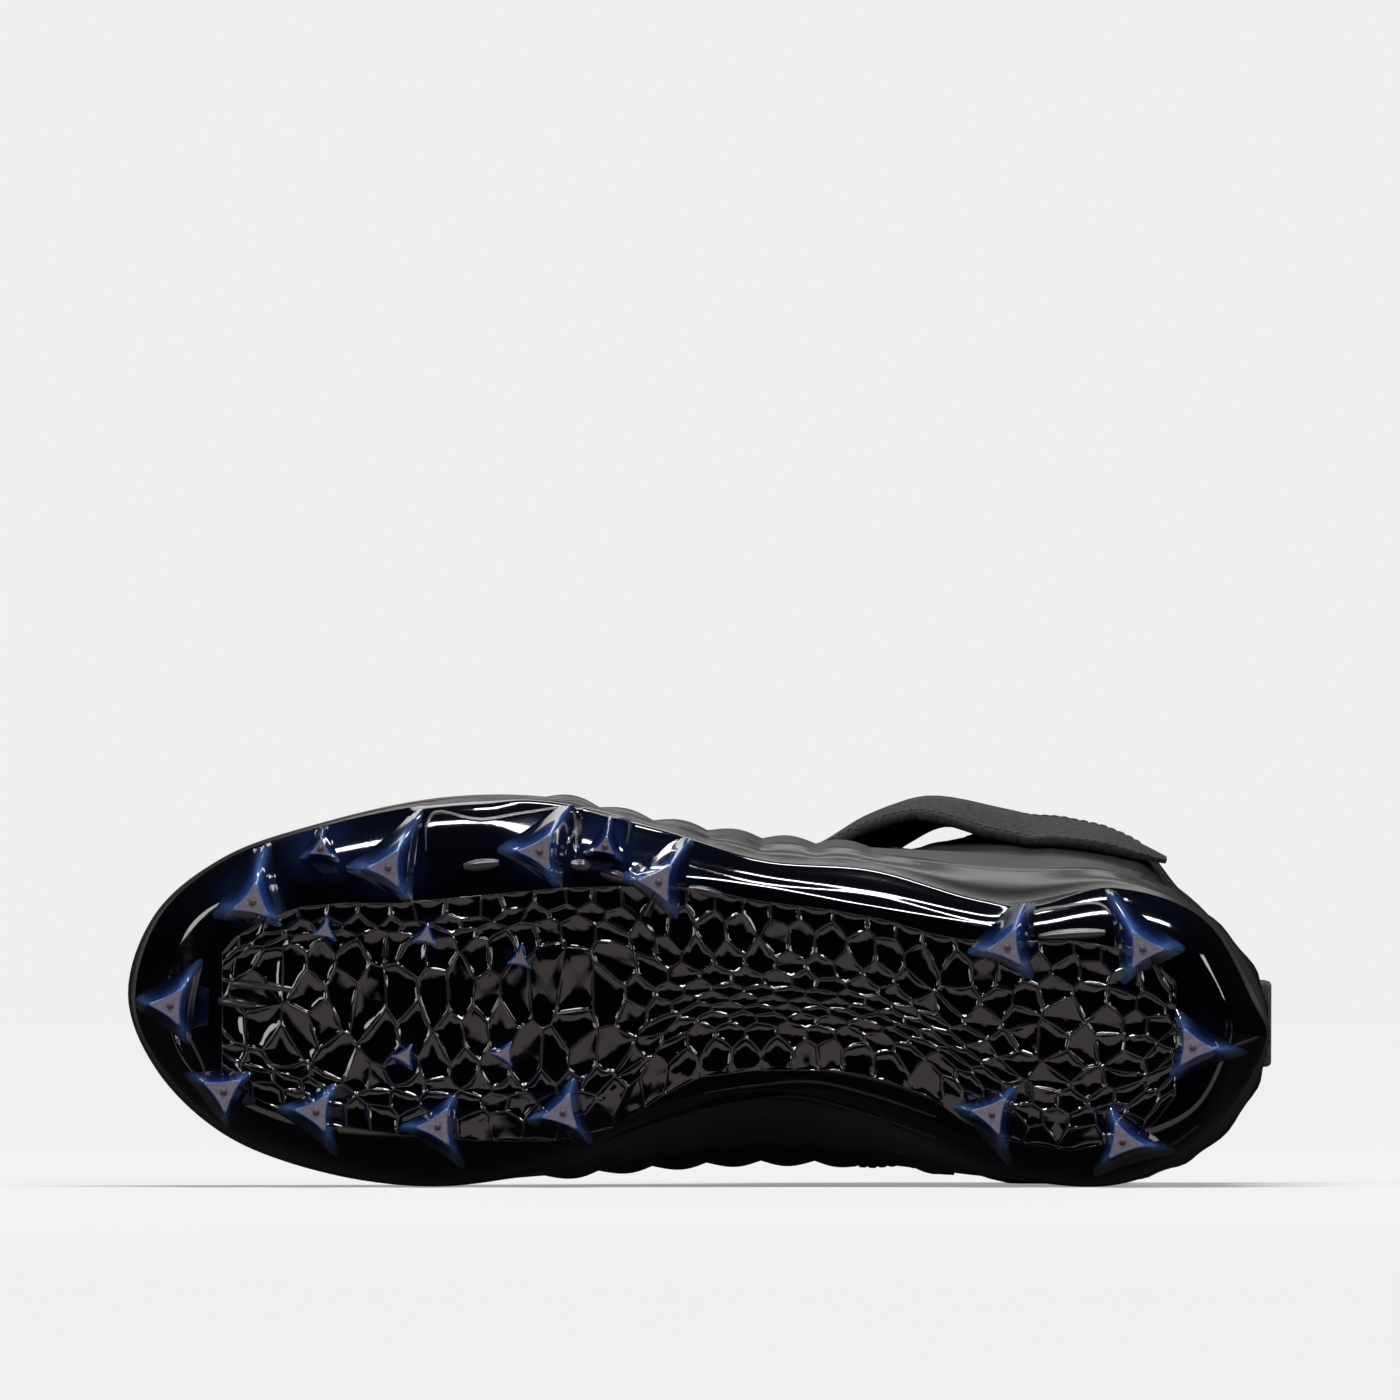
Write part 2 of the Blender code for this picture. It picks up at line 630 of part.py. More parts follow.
def facing_normal(last, k, inset):
    """The outward direction of the upper at that point."""
    here = facing_point(last, k, inset)
    up = facing_point(last, k, inset * 0.5) - here
    n = (k + 1) % last.count
    along = facing_point(last, n, inset) - facing_point(last, k - 1, inset)
    normal = along.cross(up).normalized()
    return normal if normal.z > 0 else -normal


def eyelet_samples(last):
    """Samples along the outer facing at which the eyelets sit, top first."""
    first = last.row_start[COLLAR_FRONT + 1]
    end = last.row_start[len(SECTIONS) - 3]
    picked = []
    start_x = last.rings["top"][first].x
    span = last.rings["top"][end].x - start_x
    for n in range(EYELET_PAIRS):
        goal = start_x + span * n / (EYELET_PAIRS - 1)
        picked.append(min(range(first, end + 1),
                          key=lambda k: abs(last.rings["top"][k].x - goal)))
    return picked


def eyelets(last):
    made = []
    for k in eyelet_samples(last):
        for sample in (k, last.mate(k)):
            made.append((facing_point(last, sample, EYELET_INSET),
                         facing_normal(last, sample, EYELET_INSET)))
    return made


def build_insole(last, home, material):
    """A flat bed inside the lasted upper, following arch and toe spring."""
    lift = PLATE_FLOOR + GAP + UPPER_WALL + SOFT_GAP
    inset = PLATE_SIDE * 1.3 + GAP + UPPER_WALL + SOFT_GAP
    step = 2
    picked = list(range(0, last.count, step))
    count = len(picked)
    points, faces = [], []
    for level in (0.0, 1.0):
        for k in picked:
            floor = last.rings["floor"][k]
            place = floor + last.inward[k] * inset
            place.z = last.floor_up(place.x) + lift + level * INSOLE_THICK
            points.append(place)
    band(faces, 0, count, count)
    close_ring(points, faces, 0, count, 1)
    close_ring(points, faces, count, count, 1)
    return mesh_object("insole", points, faces, home, material)


def build_tongue(last, home, material):
    """A sheet that closes the throat from inside and stands above the collar."""
    first = last.row_start[COLLAR_FRONT]
    rows = []
    depth = UPPER_WALL + SOFT_GAP
    for k in range(first, last.toe + 1, 2):
        edge, back = [], []
        for sample, line in ((k, edge), (last.mate(k), back)):
            for inset in (TONGUE_LAP, TONGUE_LAP * 0.5, 0.0005):
                normal = facing_normal(last, sample, max(inset, 0.002))
                line.append(facing_point(last, sample, inset) - normal * depth)
        middle = []
        for share in (0.33, 0.67):
            bow = min(1.0, (edge[2] - back[2]).length / (TONGUE_LAP * 2))
            lift = TONGUE_CROWN * bow * math.sin(math.pi * share)
            middle.append(edge[2].lerp(back[2], share) + Vector((0, 0, lift)))
        rows.append(edge + middle + back[::-1])
    rise = Vector((-0.35, 0, 0.94)) * TONGUE_ABOVE
    centre = sum(rows[0], Vector()) / len(rows[0])
    top = [centre + (p - centre) * TONGUE_NECK + rise for p in rows[0]]
    rows.insert(0, top)
    wide = len(rows[0])
    points = [p for row in rows for p in row]
    faces = []
    for row in range(len(rows) - 1):
        for c in range(wide - 1):
            a = row * wide + c
            faces.append((a, a + 1, a + wide + 1, a + wide))
    tongue = mesh_object("tongue", points, faces, home, material, closed=False)
    wall = tongue.modifiers.new("thickness", "SOLIDIFY")
    wall.thickness = TONGUE_THICK
    wall.offset = -1
    wall.use_even_offset = True
    return tongue


def tube(name, route, wide, home):
    """A closed tube along a route, as a mesh with welded caps."""
    curve = bpy.data.curves.new(name, "CURVE")
    curve.dimensions = "3D"
    curve.bevel_depth = wide / 2
    curve.bevel_resolution = 1
    curve.use_fill_caps = True
    line = curve.splines.new("POLY")
    line.points.add(len(route) - 1)
    for point, place in zip(line.points, route):
        point.co = (*place, 1.0)
    holder = bpy.data.objects.new(name + " path", curve)
    home.objects.link(holder)
    bpy.context.view_layer.update()
    shape = holder.evaluated_get(bpy.context.evaluated_depsgraph_get())
    mesh = bpy.data.meshes.new_from_object(shape)
    bpy.data.objects.remove(holder, do_unlink=True)
    bm = bmesh.new()
    bm.from_mesh(mesh)
    bmesh.ops.remove_doubles(bm, verts=bm.verts, dist=1e-6)
    bmesh.ops.recalc_face_normals(bm, faces=bm.faces)
    bm.to_mesh(mesh)
    bm.free()
    mesh.name = name
    made = bpy.data.objects.new(name, mesh)
    home.objects.link(made)
    return made


def build_lace(last, home, cutters, material):
    """Criss-cross lacing over the throat: two strands joined where they cross."""
    holes = eyelets(last)
    stand = LACE_WIDE / 2 + SOFT_GAP * 3 + EYESTAY_STEP
    sides = [[place + normal * stand for place, normal in holes[0::2]],
             [place + normal * stand for place, normal in holes[1::2]]]
    strands = []
    for strand in (0, 1):
        route = []
        for n in range(EYELET_PAIRS):
            here = sides[(n + strand) % 2][n]
            route.append(here)
            if n < EYELET_PAIRS - 1:
                ahead = sides[(n + 1 + strand) % 2][n + 1]
                crossing = (sides[0][n] + sides[1][n] + sides[0][n + 1] + sides[1][n + 1]) / 4
                crossing.z += TONGUE_CROWN + LACE_WIDE * 0.5
                side_in = here.lerp(crossing, 0.55)
                side_out = crossing.lerp(ahead, 0.45)
                side_in.z = max(side_in.z, crossing.z - LACE_WIDE * 0.25)
                side_out.z = max(side_out.z, crossing.z - LACE_WIDE * 0.45)
                route += [side_in, crossing, side_out]
        strands.append(tube(f"lace_strand_{strand + 1}", route, LACE_WIDE, home))
    first, second = strands
    first.name = "lace"
    first.data.materials.append(material)
    home.objects.unlink(second)
    cutters.objects.link(second)
    second.hide_render = True
    second.display_type = "WIRE"
    join = first.modifiers.new("crossings", "BOOLEAN")
    join.operation = "UNION"
    join.object = second
    join.solver = "EXACT"
    return first


def upper_at(last, row, outer, share):
    """A point on the upper's outer face between two table rows."""
    low = int(row)
    start, end = last.row_start[low], last.row_start[low + 1]
    sample = start + (end - start) * (row - low)
    k = int(sample)
    picked = (k, k + 1) if outer else (last.mate(k), last.mate(k + 1))
    a, b = (last.side_point(n, share) for n in picked)
    return a.lerp(b, sample - k)


def strap_stop(last, way):
    """Place and width direction of the strap at one stop of its route."""
    step = 0.06
    place = upper_at(last, way.row, way.outer, way.share)
    up = place - upper_at(last, way.row, way.outer, way.share - step)
    along = (upper_at(last, way.row + step, way.outer, way.share)
             - upper_at(last, way.row - step, way.outer, way.share))
    out = along.cross(up).normalized()
    if out.dot(place - Vector((LENGTH * 0.25, 0, place.z))) < 0:
        out = -out
    return place + out * way.stand, up.normalized()


def build_strap(last, upper, home, material):
    """The ankle strap: a band that follows the upper, with a tapered free end."""
    sheet = upper.data
    skin = BVHTree.FromPolygons([v.co for v in sheet.vertices],
                                [face.vertices for face in sheet.polygons])

    def clear_of_upper(place):
        hit, normal, _index, _far = skin.find_nearest(place)
        short = STRAP_CLEAR - (place - hit).dot(normal)
        return place + normal * max(0.0, short)

    stops = [strap_stop(last, way) for way in STRAP_ROUTE]
    route = [place for place, _up in stops]
    rows = []
    last_way = len(route) - 1
    for n in range(last_way):
        before = route[n - 1] if n else route[0] * 2 - route[1]
        after = route[n + 2] if n + 2 <= last_way else route[-1] * 2 - route[-2]
        shares = (0.0, 0.5) if n < STRAIGHT_FROM else (0.0,)
        for share in (0.0, 0.33, 0.67) if n < SEATED_STOPS else shares:
            place = spline(before, route[n], route[n + 1], after, share)
            a, b = STRAP_ROUTE[n], STRAP_ROUTE[n + 1]
            rows.append((place, a.wide + (b.wide - a.wide) * share,
                         a.bow + (b.bow - a.bow) * share,
                         stops[n][1].lerp(stops[n + 1][1], share)))
    end = STRAP_ROUTE[-1]
    rows.append((route[-1], end.wide, end.bow, stops[-1][1]))
    points, faces = [], []
    for n, (place, wide, bow, up) in enumerate(rows):
        ahead = rows[min(n + 1, len(rows) - 1)][0] - rows[max(n - 1, 0)][0]
        ahead.normalize()
        up = (up - ahead * up.dot(ahead)).normalized()
        out = ahead.cross(up)
        half = wide * STRAP_WIDTH / 2
        thick = out * STRAP_THICK
        inner = [clear_of_upper(place + up * (half * side) - out * (bow * abs(side)) - thick)
                 for side in (-1, 0, 1)]
        points += inner + [spot + thick for spot in reversed(inner)]
    corners = 6
    for n in range(len(rows) - 1):
        for c in range(corners):
            a, b = corners * n + c, corners * n + (c + 1) % corners
            faces.append((a, b, b + corners, a + corners))
    faces.append(tuple(range(corners)))
    faces.append(tuple(range(corners * (len(rows) - 1), corners * len(rows))))
    return mesh_object("ankle_strap", points, faces, home, material)


def build_pull_tab(last, home, material):
    """A webbing loop on the back of the collar, standing clear of it."""
    seat_low = last.side_point(0, 0.45)
    seat_high = last.side_point(0, 0.93)
    up = (seat_high - seat_low).normalized()
    out = Vector((-up.z, 0, up.x))
    middle = (seat_low + seat_high) / 2
    half = TAB_HEIGHT / 2
    # Outer and inner outline of the loop, as steps along the collar and away from it
    clear = GAP + 0.0006
    outer = ((-half, clear), (-half, clear + TAB_THICK),
             (-half * 0.55, clear + TAB_THICK + TAB_STAND),
             (half * 0.55, clear + TAB_THICK + TAB_STAND),
             (half, clear + TAB_THICK), (half, clear))
    inner = ((half * 0.62, clear), (half * 0.45, clear + TAB_STAND),
             (-half * 0.45, clear + TAB_STAND), (-half * 0.62, clear))
    outline = outer + inner
    points, faces = [], []
    for side in (-1, 1):
        for along, away in outline:
            points.append(middle + up * along + out * away
                          + Vector((0, side * TAB_WIDTH / 2, 0)))
    count = len(outline)
    band(faces, 0, count, count)
    for start in (0, count):
        quads = ((0, 1, 2, 8), (0, 8, 9), (2, 3, 7, 8), (3, 4, 6, 7), (4, 5, 6))
        for quad in quads:
            faces.append(tuple(start + i for i in quad))
    return mesh_object("heel_pull_tab", points, faces, home, material)


def weighed_points(solids):
    """All evaluated points, and the balance point of the whole shoe."""
    depsgraph = bpy.context.evaluated_depsgraph_get()
    points, total, moment = [], 0.0, Vector()
    for solid in solids:
        shape = solid.evaluated_get(depsgraph)
        mesh = shape.to_mesh()
        mesh.calc_loop_triangles()
        weight = DENSITY.get(solid.name, SOFT_DENSITY)
        for triangle in mesh.loop_triangles:
            a, b, c = (mesh.vertices[i].co for i in triangle.vertices)
            piece = weight * a.dot(b.cross(c)) / 6
            total += piece
            moment += (a + b + c) * (piece / 4)
        points += [v.co.copy() for v in mesh.vertices]
        shape.to_mesh_clear()
    return points, moment / total


def resting_turn(points, balance):
    """The turn that lays the shoe on the flat side of its hull under the balance point."""
    bm = bmesh.new()
    for point in points:
        bm.verts.new(point)
    bmesh.ops.remove_doubles(bm, verts=bm.verts, dist=1e-6)
    bmesh.ops.convex_hull(bm, input=bm.verts)
    tree = BVHTree.FromBMesh(bm)
    down = Vector((0, -1, 0))
    for _ in range(8):
        hit, normal, _index, _far = tree.ray_cast(balance, down)
        if normal.dot(down) < 0:
            normal = -normal
        if (normal - down).length < 1e-7:
            break
        down = normal
    bm.free()
    up = -down
    forward = (Vector((1, 0, 0)) - up * up.x).normalized()
    side = -forward
    depth = up.cross(side)
    return Matrix((side, depth, up)).to_4x4()


def lay_down(solids, tools, home):
    """Parents solids and cutting shapes to an empty that turns the whole shoe over."""
    bpy.context.view_layer.update()
    points, balance = weighed_points(solids)
    turn = resting_turn(points, balance)
    placed = [turn @ point for point in points]
    low = Vector([min(p[i] for p in placed) for i in range(3)])
    high = Vector([max(p[i] for p in placed) for i in range(3)])
    holder = bpy.data.objects.new("shoe placement", None)
    home.objects.link(holder)
    shift = Vector((-(low.x + high.x) / 2, -(low.y + high.y) / 2, -low.z))
    holder.matrix_world = Matrix.Translation(shift) @ turn
    for solid in solids + tools:
        solid.parent = holder


def main():
    clear_scene()
    home = collection("football cleat")
    cutters = collection("cutters")
    last = Last()
    plate = build_plate(last, home, finish("plate_gloss"))
    bpy.context.view_layer.update()
    add_studs(last, plate, cutters)
    hollow_plate(last, plate, cutters)
    upper = build_upper(last, home, cutters, finish("upper_skin"))
    solids = [
        plate,
        upper,
        build_insole(last, home, finish("insole_cloth")),
        build_tongue(last, home, finish("tongue_knit")),
        build_lace(last, home, cutters, finish("lace_cord")),
        build_strap(last, upper, home, finish("strap_web")),
        build_pull_tab(last, home, finish("tab_web")),
    ]
    lay_down(solids, list(cutters.all_objects), home)


main()
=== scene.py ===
# %% [markdown]
# # A football cleat seen from below
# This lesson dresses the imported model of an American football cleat. The shoe lies on its
# inner side, so the camera looks straight at the moulded plate with its studs. Each cell
# first says what a piece is on the real shoe, and then builds it.

# %% Frame and imports
import json
import math

import bmesh
import bpy
import numpy as np
from mathutils import Matrix, Vector
from mathutils.bvhtree import BVHTree


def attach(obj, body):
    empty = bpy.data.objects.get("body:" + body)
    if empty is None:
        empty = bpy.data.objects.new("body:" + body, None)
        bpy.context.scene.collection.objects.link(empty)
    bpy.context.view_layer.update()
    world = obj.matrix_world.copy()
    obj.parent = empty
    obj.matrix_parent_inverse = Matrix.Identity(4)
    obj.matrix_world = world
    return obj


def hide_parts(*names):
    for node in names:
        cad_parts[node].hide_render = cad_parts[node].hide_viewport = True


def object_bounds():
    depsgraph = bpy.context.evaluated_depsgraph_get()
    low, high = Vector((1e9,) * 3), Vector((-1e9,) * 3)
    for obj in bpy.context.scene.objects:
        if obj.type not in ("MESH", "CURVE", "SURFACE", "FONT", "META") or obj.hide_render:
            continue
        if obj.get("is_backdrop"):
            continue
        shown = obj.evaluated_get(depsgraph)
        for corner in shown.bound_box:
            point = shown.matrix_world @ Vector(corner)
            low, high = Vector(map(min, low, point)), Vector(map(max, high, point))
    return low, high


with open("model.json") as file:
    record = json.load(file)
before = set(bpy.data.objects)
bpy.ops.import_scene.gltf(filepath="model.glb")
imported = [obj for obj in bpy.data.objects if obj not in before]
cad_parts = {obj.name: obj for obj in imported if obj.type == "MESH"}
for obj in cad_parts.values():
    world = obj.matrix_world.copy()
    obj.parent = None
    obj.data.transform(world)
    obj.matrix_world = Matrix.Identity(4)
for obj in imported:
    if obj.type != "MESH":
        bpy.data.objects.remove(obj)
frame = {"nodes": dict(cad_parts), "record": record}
CAD_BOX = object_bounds()
RECORD = frame["record"]
print("nodes", sorted(frame["nodes"]))

# %% [markdown]
# ## Where the shoe lies
# The shoe was modelled upright: x from heel to toe, y to the outer side, z up from the plane
# of the stud tips. Three stud tips are mounts in the record, and the turn that laid the shoe
# down follows from where two of them are now and from the axis of the heel one.

# %% Placement
LENGTH = 0.296
BALL_WIDTH = 0.102
HEEL_WIDTH = 0.077
WAIST_AT = 0.20
BALL_AT = 0.62


def ease(share):
    share = min(1.0, max(0.0, share))
    return share * share * (3 - 2 * share)


def local_width(at):
    return HEEL_WIDTH + (BALL_WIDTH - HEEL_WIDTH) * ease((at - WAIST_AT) / (BALL_AT - WAIST_AT))


def axes_through(a, b, up):
    along = (b - a).normalized()
    side = up.cross(along).normalized()
    return Matrix((along, side, along.cross(side))).transposed()


TIP_PLACES = {"forefoot_inner_stud_tip": (0.728, -0.272), "heel_inner_stud_tip": (0.131, -0.404)}
tips = {m["name"]: m for m in RECORD["mounts"]}
tip_shoe, tip_world = [], []
for tip_name, (tip_at, tip_across) in TIP_PLACES.items():
    tip_shoe.append(Vector((tip_at * LENGTH, tip_across * local_width(tip_at), 0)))
    tip_world.append(Vector(tips[tip_name]["pos_m"]))
sole_up = -Vector(tips["heel_inner_stud_tip"]["axis"]).normalized()
TURN = (axes_through(*tip_world, sole_up)
        @ axes_through(*tip_shoe, Vector((0, 0, 1))).transposed())
SHIFT = tip_world[0] - TURN @ tip_shoe[0]
PLACE = Matrix.Translation(SHIFT) @ TURN.to_4x4()
print("heel to toe runs along", [round(c, 4) for c in TURN.col[0]])

# %% [markdown]
# ## Camera
# The photo looks level and square at the sole from far away: stud tips and outline, which lie
# 45 mm apart in depth, show at one scale. So a very long lens stands 14 m off. One millimetre
# of the sole is 3.87 pixels of the 1400 pixel frame, which fixes the focal length.

# %% Camera
FRAME_PIXELS = 1400
PIXELS_PER_MM = 3.87
FRAME_WIDTH = FRAME_PIXELS / PIXELS_PER_MM / 1000
FLOOR_ROW = 1187          # pixel row of the photo taken as the floor line
HEEL_COLUMN = 1268        # pixel column of the photo taken as the heel's end
AXIS_UP = 0.043           # height of the shoe's middle line above the floor
SOLE_PLANE = -0.045       # world Y where the scale holds, between tips and outline
CAMERA_AWAY = 14.0
CAMERA_SIDE = -0.0003
SENSOR = 36
camera_data = bpy.data.cameras.new("camera")
camera_data.sensor_width = SENSOR
camera_data.lens = SENSOR * CAMERA_AWAY / FRAME_WIDTH
camera_data.clip_end = 40
camera = bpy.data.objects.new("camera", camera_data)
camera.location = (CAMERA_SIDE, SOLE_PLANE - CAMERA_AWAY,
                   (FLOOR_ROW - FRAME_PIXELS / 2) / PIXELS_PER_MM / 1000)
camera.rotation_euler = (math.radians(90), 0, 0)
bpy.context.scene.collection.objects.link(camera)
bpy.context.scene.camera = camera
bpy.context.scene.view_settings.view_transform = "Standard"
print("lens", round(camera_data.lens, 1))


# %% [markdown]
# ## Materials, first the helpers
# Colours are written as the hex values that one would pick from a screen, and one function
# turns them to the linear values that the shader works with. One function adds a node, sets
# it up and links it.

# %% Colour and node helpers
def colour(code):
    """A hex colour of the screen as linear values."""
    made = []
    for start in (1, 3, 5):
        value = int(code[start:start + 2], 16) / 255
        made.append(value / 12.92 if value <= 0.04045 else ((value + 0.055) / 1.055) ** 2.4)
    return (*made, 1.0)


def add(tree, kind, settings=None, inputs=None):
    """Adds one node; an input is a value or the socket that feeds it."""
    node = tree.nodes.new(kind)
    for key, value in (settings or {}).items():
        setattr(node, key, value)
    for key, value in (inputs or {}).items():
        if isinstance(value, bpy.types.NodeSocket):
            tree.links.new(value, node.inputs[key])
        else:
            node.inputs[key].default_value = value
    return node


def start_material(name, **sockets):
    """A material with its shader, whose plain values are set on its own sockets."""
    made = bpy.data.materials.new(name)
    made.use_nodes = True
    shader = made.node_tree.nodes["Principled BSDF"]
    for key, value in sockets.items():
        shader.inputs[key.replace("_", " ")].default_value = value
    return made, made.node_tree, shader


def ramp(tree, factor, stops):
    """A colour ramp fed by factor, with (place, hex) stops."""
    node = add(tree, "ShaderNodeValToRGB", None, {"Fac": factor})
    line = node.color_ramp.elements
    while len(line) < len(stops):
        line.new(0.5)
    for element, (place, code) in zip(line, stops):
        element.position = place
        element.color = colour(code)
    return node.outputs["Color"]


def bump(tree, shader, height, distance, strength=1.0):
    node = add(tree, "ShaderNodeBump", None,
               {"Height": height, "Distance": distance, "Strength": strength})
    tree.links.new(node.outputs["Normal"], shader.inputs["Normal"])


MM = 1000.0               # a texture scale of MM gives one pattern cell per millimetre

# %% [markdown]
# ## Moulded plate
# The plate is injection-moulded thermoplastic polyurethane, polished in its mould: near
# black, very glossy, and tinted navy where the clear blue of the studs runs into it. The
# crests between its scales are painted a lighter grey and made a little rougher: partly
# rubbed wear, and partly a painted highlight along each ridge. Those two shades follow
# attributes that the mesh carries, and a faint orange-peel bump keeps the gloss from being perfect.


# %% Gloss polyurethane of the plate
def gloss_plate_material():
    made, tree, shader = start_material("moulded_polyurethane_gloss_black",
                                        Roughness=0.09, IOR=1.5, Coat_Weight=0.6,
                                        Coat_Roughness=0.04, Coat_IOR=1.5)
    tint = add(tree, "ShaderNodeAttribute", {"attribute_name": "tint"})
    # Crest value: the ridges are mixed towards a lighter grey, partly rubbed wear and partly a
    # painted highlight
    crest_wear_and_highlight = add(tree, "ShaderNodeAttribute", {"attribute_name": "crest_wear_and_highlight"})
    place = add(tree, "ShaderNodeTexCoord")
    base = ramp(tree, tint.outputs["Fac"], ((0.0, "#040405"), (0.45, "#060812"), (1.0, "#0e1838")))
    crests_wear_and_highlight_mix = add(tree, "ShaderNodeMix", {"data_type": "RGBA"},
                 {0: crest_wear_and_highlight.outputs["Fac"], 6: base, 7: colour("#3b3638")})
    tree.links.new(crests_wear_and_highlight_mix.outputs[2], shader.inputs["Base Color"])
    peel = add(tree, "ShaderNodeTexNoise", None,
               {"Vector": place.outputs["Object"], "Scale": MM / 2.5, "Detail": 2.0})
    rough = add(tree, "ShaderNodeMapRange", None,
                {"Value": crest_wear_and_highlight.outputs["Fac"], "To Min": 0.08, "To Max": 0.3})
    tree.links.new(rough.outputs["Result"], shader.inputs["Roughness"])
    bump(tree, shader, peel.outputs["Fac"], 0.00003)
    return made


GLOSS_PLATE = gloss_plate_material()
# The moulded lines and bars are a satin grey, lighter than the plate: a painted highlight along
# their edges
LINE_PAINTED_HIGHLIGHT = start_material("moulded_edge_painted_highlight_grey", Base_Color=colour("#3d3b40"),
                            Roughness=0.32, Coat_Weight=0.3)[0]

# %% [markdown]
# ## Studs
# The studs are the same plastic in a translucent blue: deep navy at the root, lighter
# towards the tip, a painted glow of light blue along the thin corners where light would
# pass through, and a matte grey tip that is scuffed by walking.


# %% Blue studs and their grey tips
def stud_material():
    made, tree, shader = start_material("moulded_polyurethane_clear_blue",
                                        Roughness=0.12, IOR=1.5, Coat_Weight=0.8,
                                        Coat_Roughness=0.05, Subsurface_Weight=0.15)
    shader.inputs["Subsurface Radius"].default_value = (0.2, 0.4, 1.0)
    shader.inputs["Subsurface Scale"].default_value = 0.003
    up = add(tree, "ShaderNodeAttribute", {"attribute_name": "up"})
    # Painted glow: the edge attribute screens the thin corners towards light blue, as if light
    # shone through them
    edge = add(tree, "ShaderNodeAttribute", {"attribute_name": "edge"})
    body = ramp(tree, up.outputs["Fac"],
                ((0.0, "#060608"), (0.25, "#0d1a3e"), (0.6, "#2a4a8e"), (1.0, "#4c64a8")))
    lit = add(tree, "ShaderNodeMix", {"data_type": "RGBA", "blend_type": "SCREEN"},
              {0: edge.outputs["Fac"], 6: body, 7: colour("#5578b8")})
    tree.links.new(lit.outputs[2], shader.inputs["Base Color"])
    return made


def tip_material():
    made, tree, shader = start_material("moulded_polyurethane_matte_grey", IOR=1.5)
    place = add(tree, "ShaderNodeTexCoord")
    grit = add(tree, "ShaderNodeTexNoise", None,
               {"Vector": place.outputs["Object"], "Scale": MM / 0.9, "Detail": 6.0})
    tone = ramp(tree, grit.outputs["Fac"], ((0.3, "#767484"), (0.7, "#8d8b9c")))
    tree.links.new(tone, shader.inputs["Base Color"])
    rough = add(tree, "ShaderNodeMapRange", None,
                {"Value": grit.outputs["Fac"], "To Min": 0.35, "To Max": 0.6})
    tree.links.new(rough.outputs["Result"], shader.inputs["Roughness"])
    bump(tree, shader, grit.outputs["Fac"], 0.00008)
    return made


CLEAR_BLUE = stud_material()
TIP_GREY = tip_material()

# %% [markdown]
# ## Upper, collar and cloth
# The upper is a coated synthetic with a fine grain that turns to knit at the collar, and its
# lowest band is a smoother, greyer foil. One material holds all three, mixed by attributes,
# so the zones blend where the real ones are fused. The knit follows the mesh's own map in
# metres: rows of loops 1.3 mm apart, coarser than real so that they show.


# %% Upper material
def knit_height(tree, pitch_mm):
    """Rows of V-shaped loops along the map called weave, as a height."""
    weave = add(tree, "ShaderNodeAttribute", {"attribute_name": "weave"})
    parts = add(tree, "ShaderNodeSeparateXYZ", None, {"Vector": weave.outputs["Vector"]})
    across = add(tree, "ShaderNodeMath", {"operation": "MULTIPLY"},
                 {0: parts.outputs["X"], 1: 2 * math.pi * MM / pitch_mm})
    along = add(tree, "ShaderNodeMath", {"operation": "MULTIPLY"},
                {0: parts.outputs["Y"], 1: 2 * math.pi * MM / pitch_mm})
    wale = add(tree, "ShaderNodeMath", {"operation": "SINE"}, {0: across.outputs[0]})
    slant = add(tree, "ShaderNodeMath", {"operation": "ABSOLUTE"}, {0: wale.outputs[0]})
    lean = add(tree, "ShaderNodeMath", {"operation": "MULTIPLY_ADD"},
               {0: slant.outputs[0], 1: 2.2, 2: along.outputs[0]})
    course = add(tree, "ShaderNodeMath", {"operation": "SINE"}, {0: lean.outputs[0]})
    return add(tree, "ShaderNodeMath", {"operation": "MULTIPLY_ADD"},
               {0: slant.outputs[0], 1: 0.6, 2: course.outputs[0]}).outputs[0]


def upper_material():
    made, tree, shader = start_material("coated_synthetic_and_knit_black", IOR=1.45,
                                        Specular_IOR_Level=0.32)
    knit = add(tree, "ShaderNodeAttribute", {"attribute_name": "knit"})
    rand = add(tree, "ShaderNodeAttribute", {"attribute_name": "rand"})
    place = add(tree, "ShaderNodeTexCoord")
    grain = add(tree, "ShaderNodeTexVoronoi", {"feature": "DISTANCE_TO_EDGE"},
                {"Vector": place.outputs["Object"], "Scale": MM / 1.4})
    cloud = add(tree, "ShaderNodeTexNoise", None,
                {"Vector": place.outputs["Object"], "Scale": MM / 22, "Detail": 5.0})
    skin = ramp(tree, cloud.outputs["Fac"], ((0.3, "#121011"), (0.7, "#191617")))
    cloth = add(tree, "ShaderNodeMix", {"data_type": "RGBA"},
                {0: knit.outputs["Fac"], 6: skin, 7: colour("#171415")})
    band = add(tree, "ShaderNodeMix", {"data_type": "RGBA"},
               {0: rand.outputs["Fac"], 6: cloth.outputs[2], 7: colour("#343131")})
    tree.links.new(band.outputs[2], shader.inputs["Base Color"])
    rough_knit = add(tree, "ShaderNodeMapRange", None,
                     {"Value": knit.outputs["Fac"], "To Min": 0.46, "To Max": 0.9})
    rough_band = add(tree, "ShaderNodeMix", {"data_type": "FLOAT"},
                     {0: rand.outputs["Fac"], 2: rough_knit.outputs["Result"], 3: 0.33})
    tree.links.new(rough_band.outputs[0], shader.inputs["Roughness"])
    smooth = add(tree, "ShaderNodeMath", {"operation": "MULTIPLY_ADD"},
                 {0: rand.outputs["Fac"], 1: -0.85, 2: 1.0})
    fine = add(tree, "ShaderNodeMath", {"operation": "MULTIPLY"},
               {0: grain.outputs["Distance"], 1: smooth.outputs[0]})
    mixed = add(tree, "ShaderNodeMix", {"data_type": "FLOAT"},
                {0: knit.outputs["Fac"], 2: fine.outputs[0], 3: knit_height(tree, 1.3)})
    bump(tree, shader, mixed.outputs[0], 0.00022, 0.8)
    return made


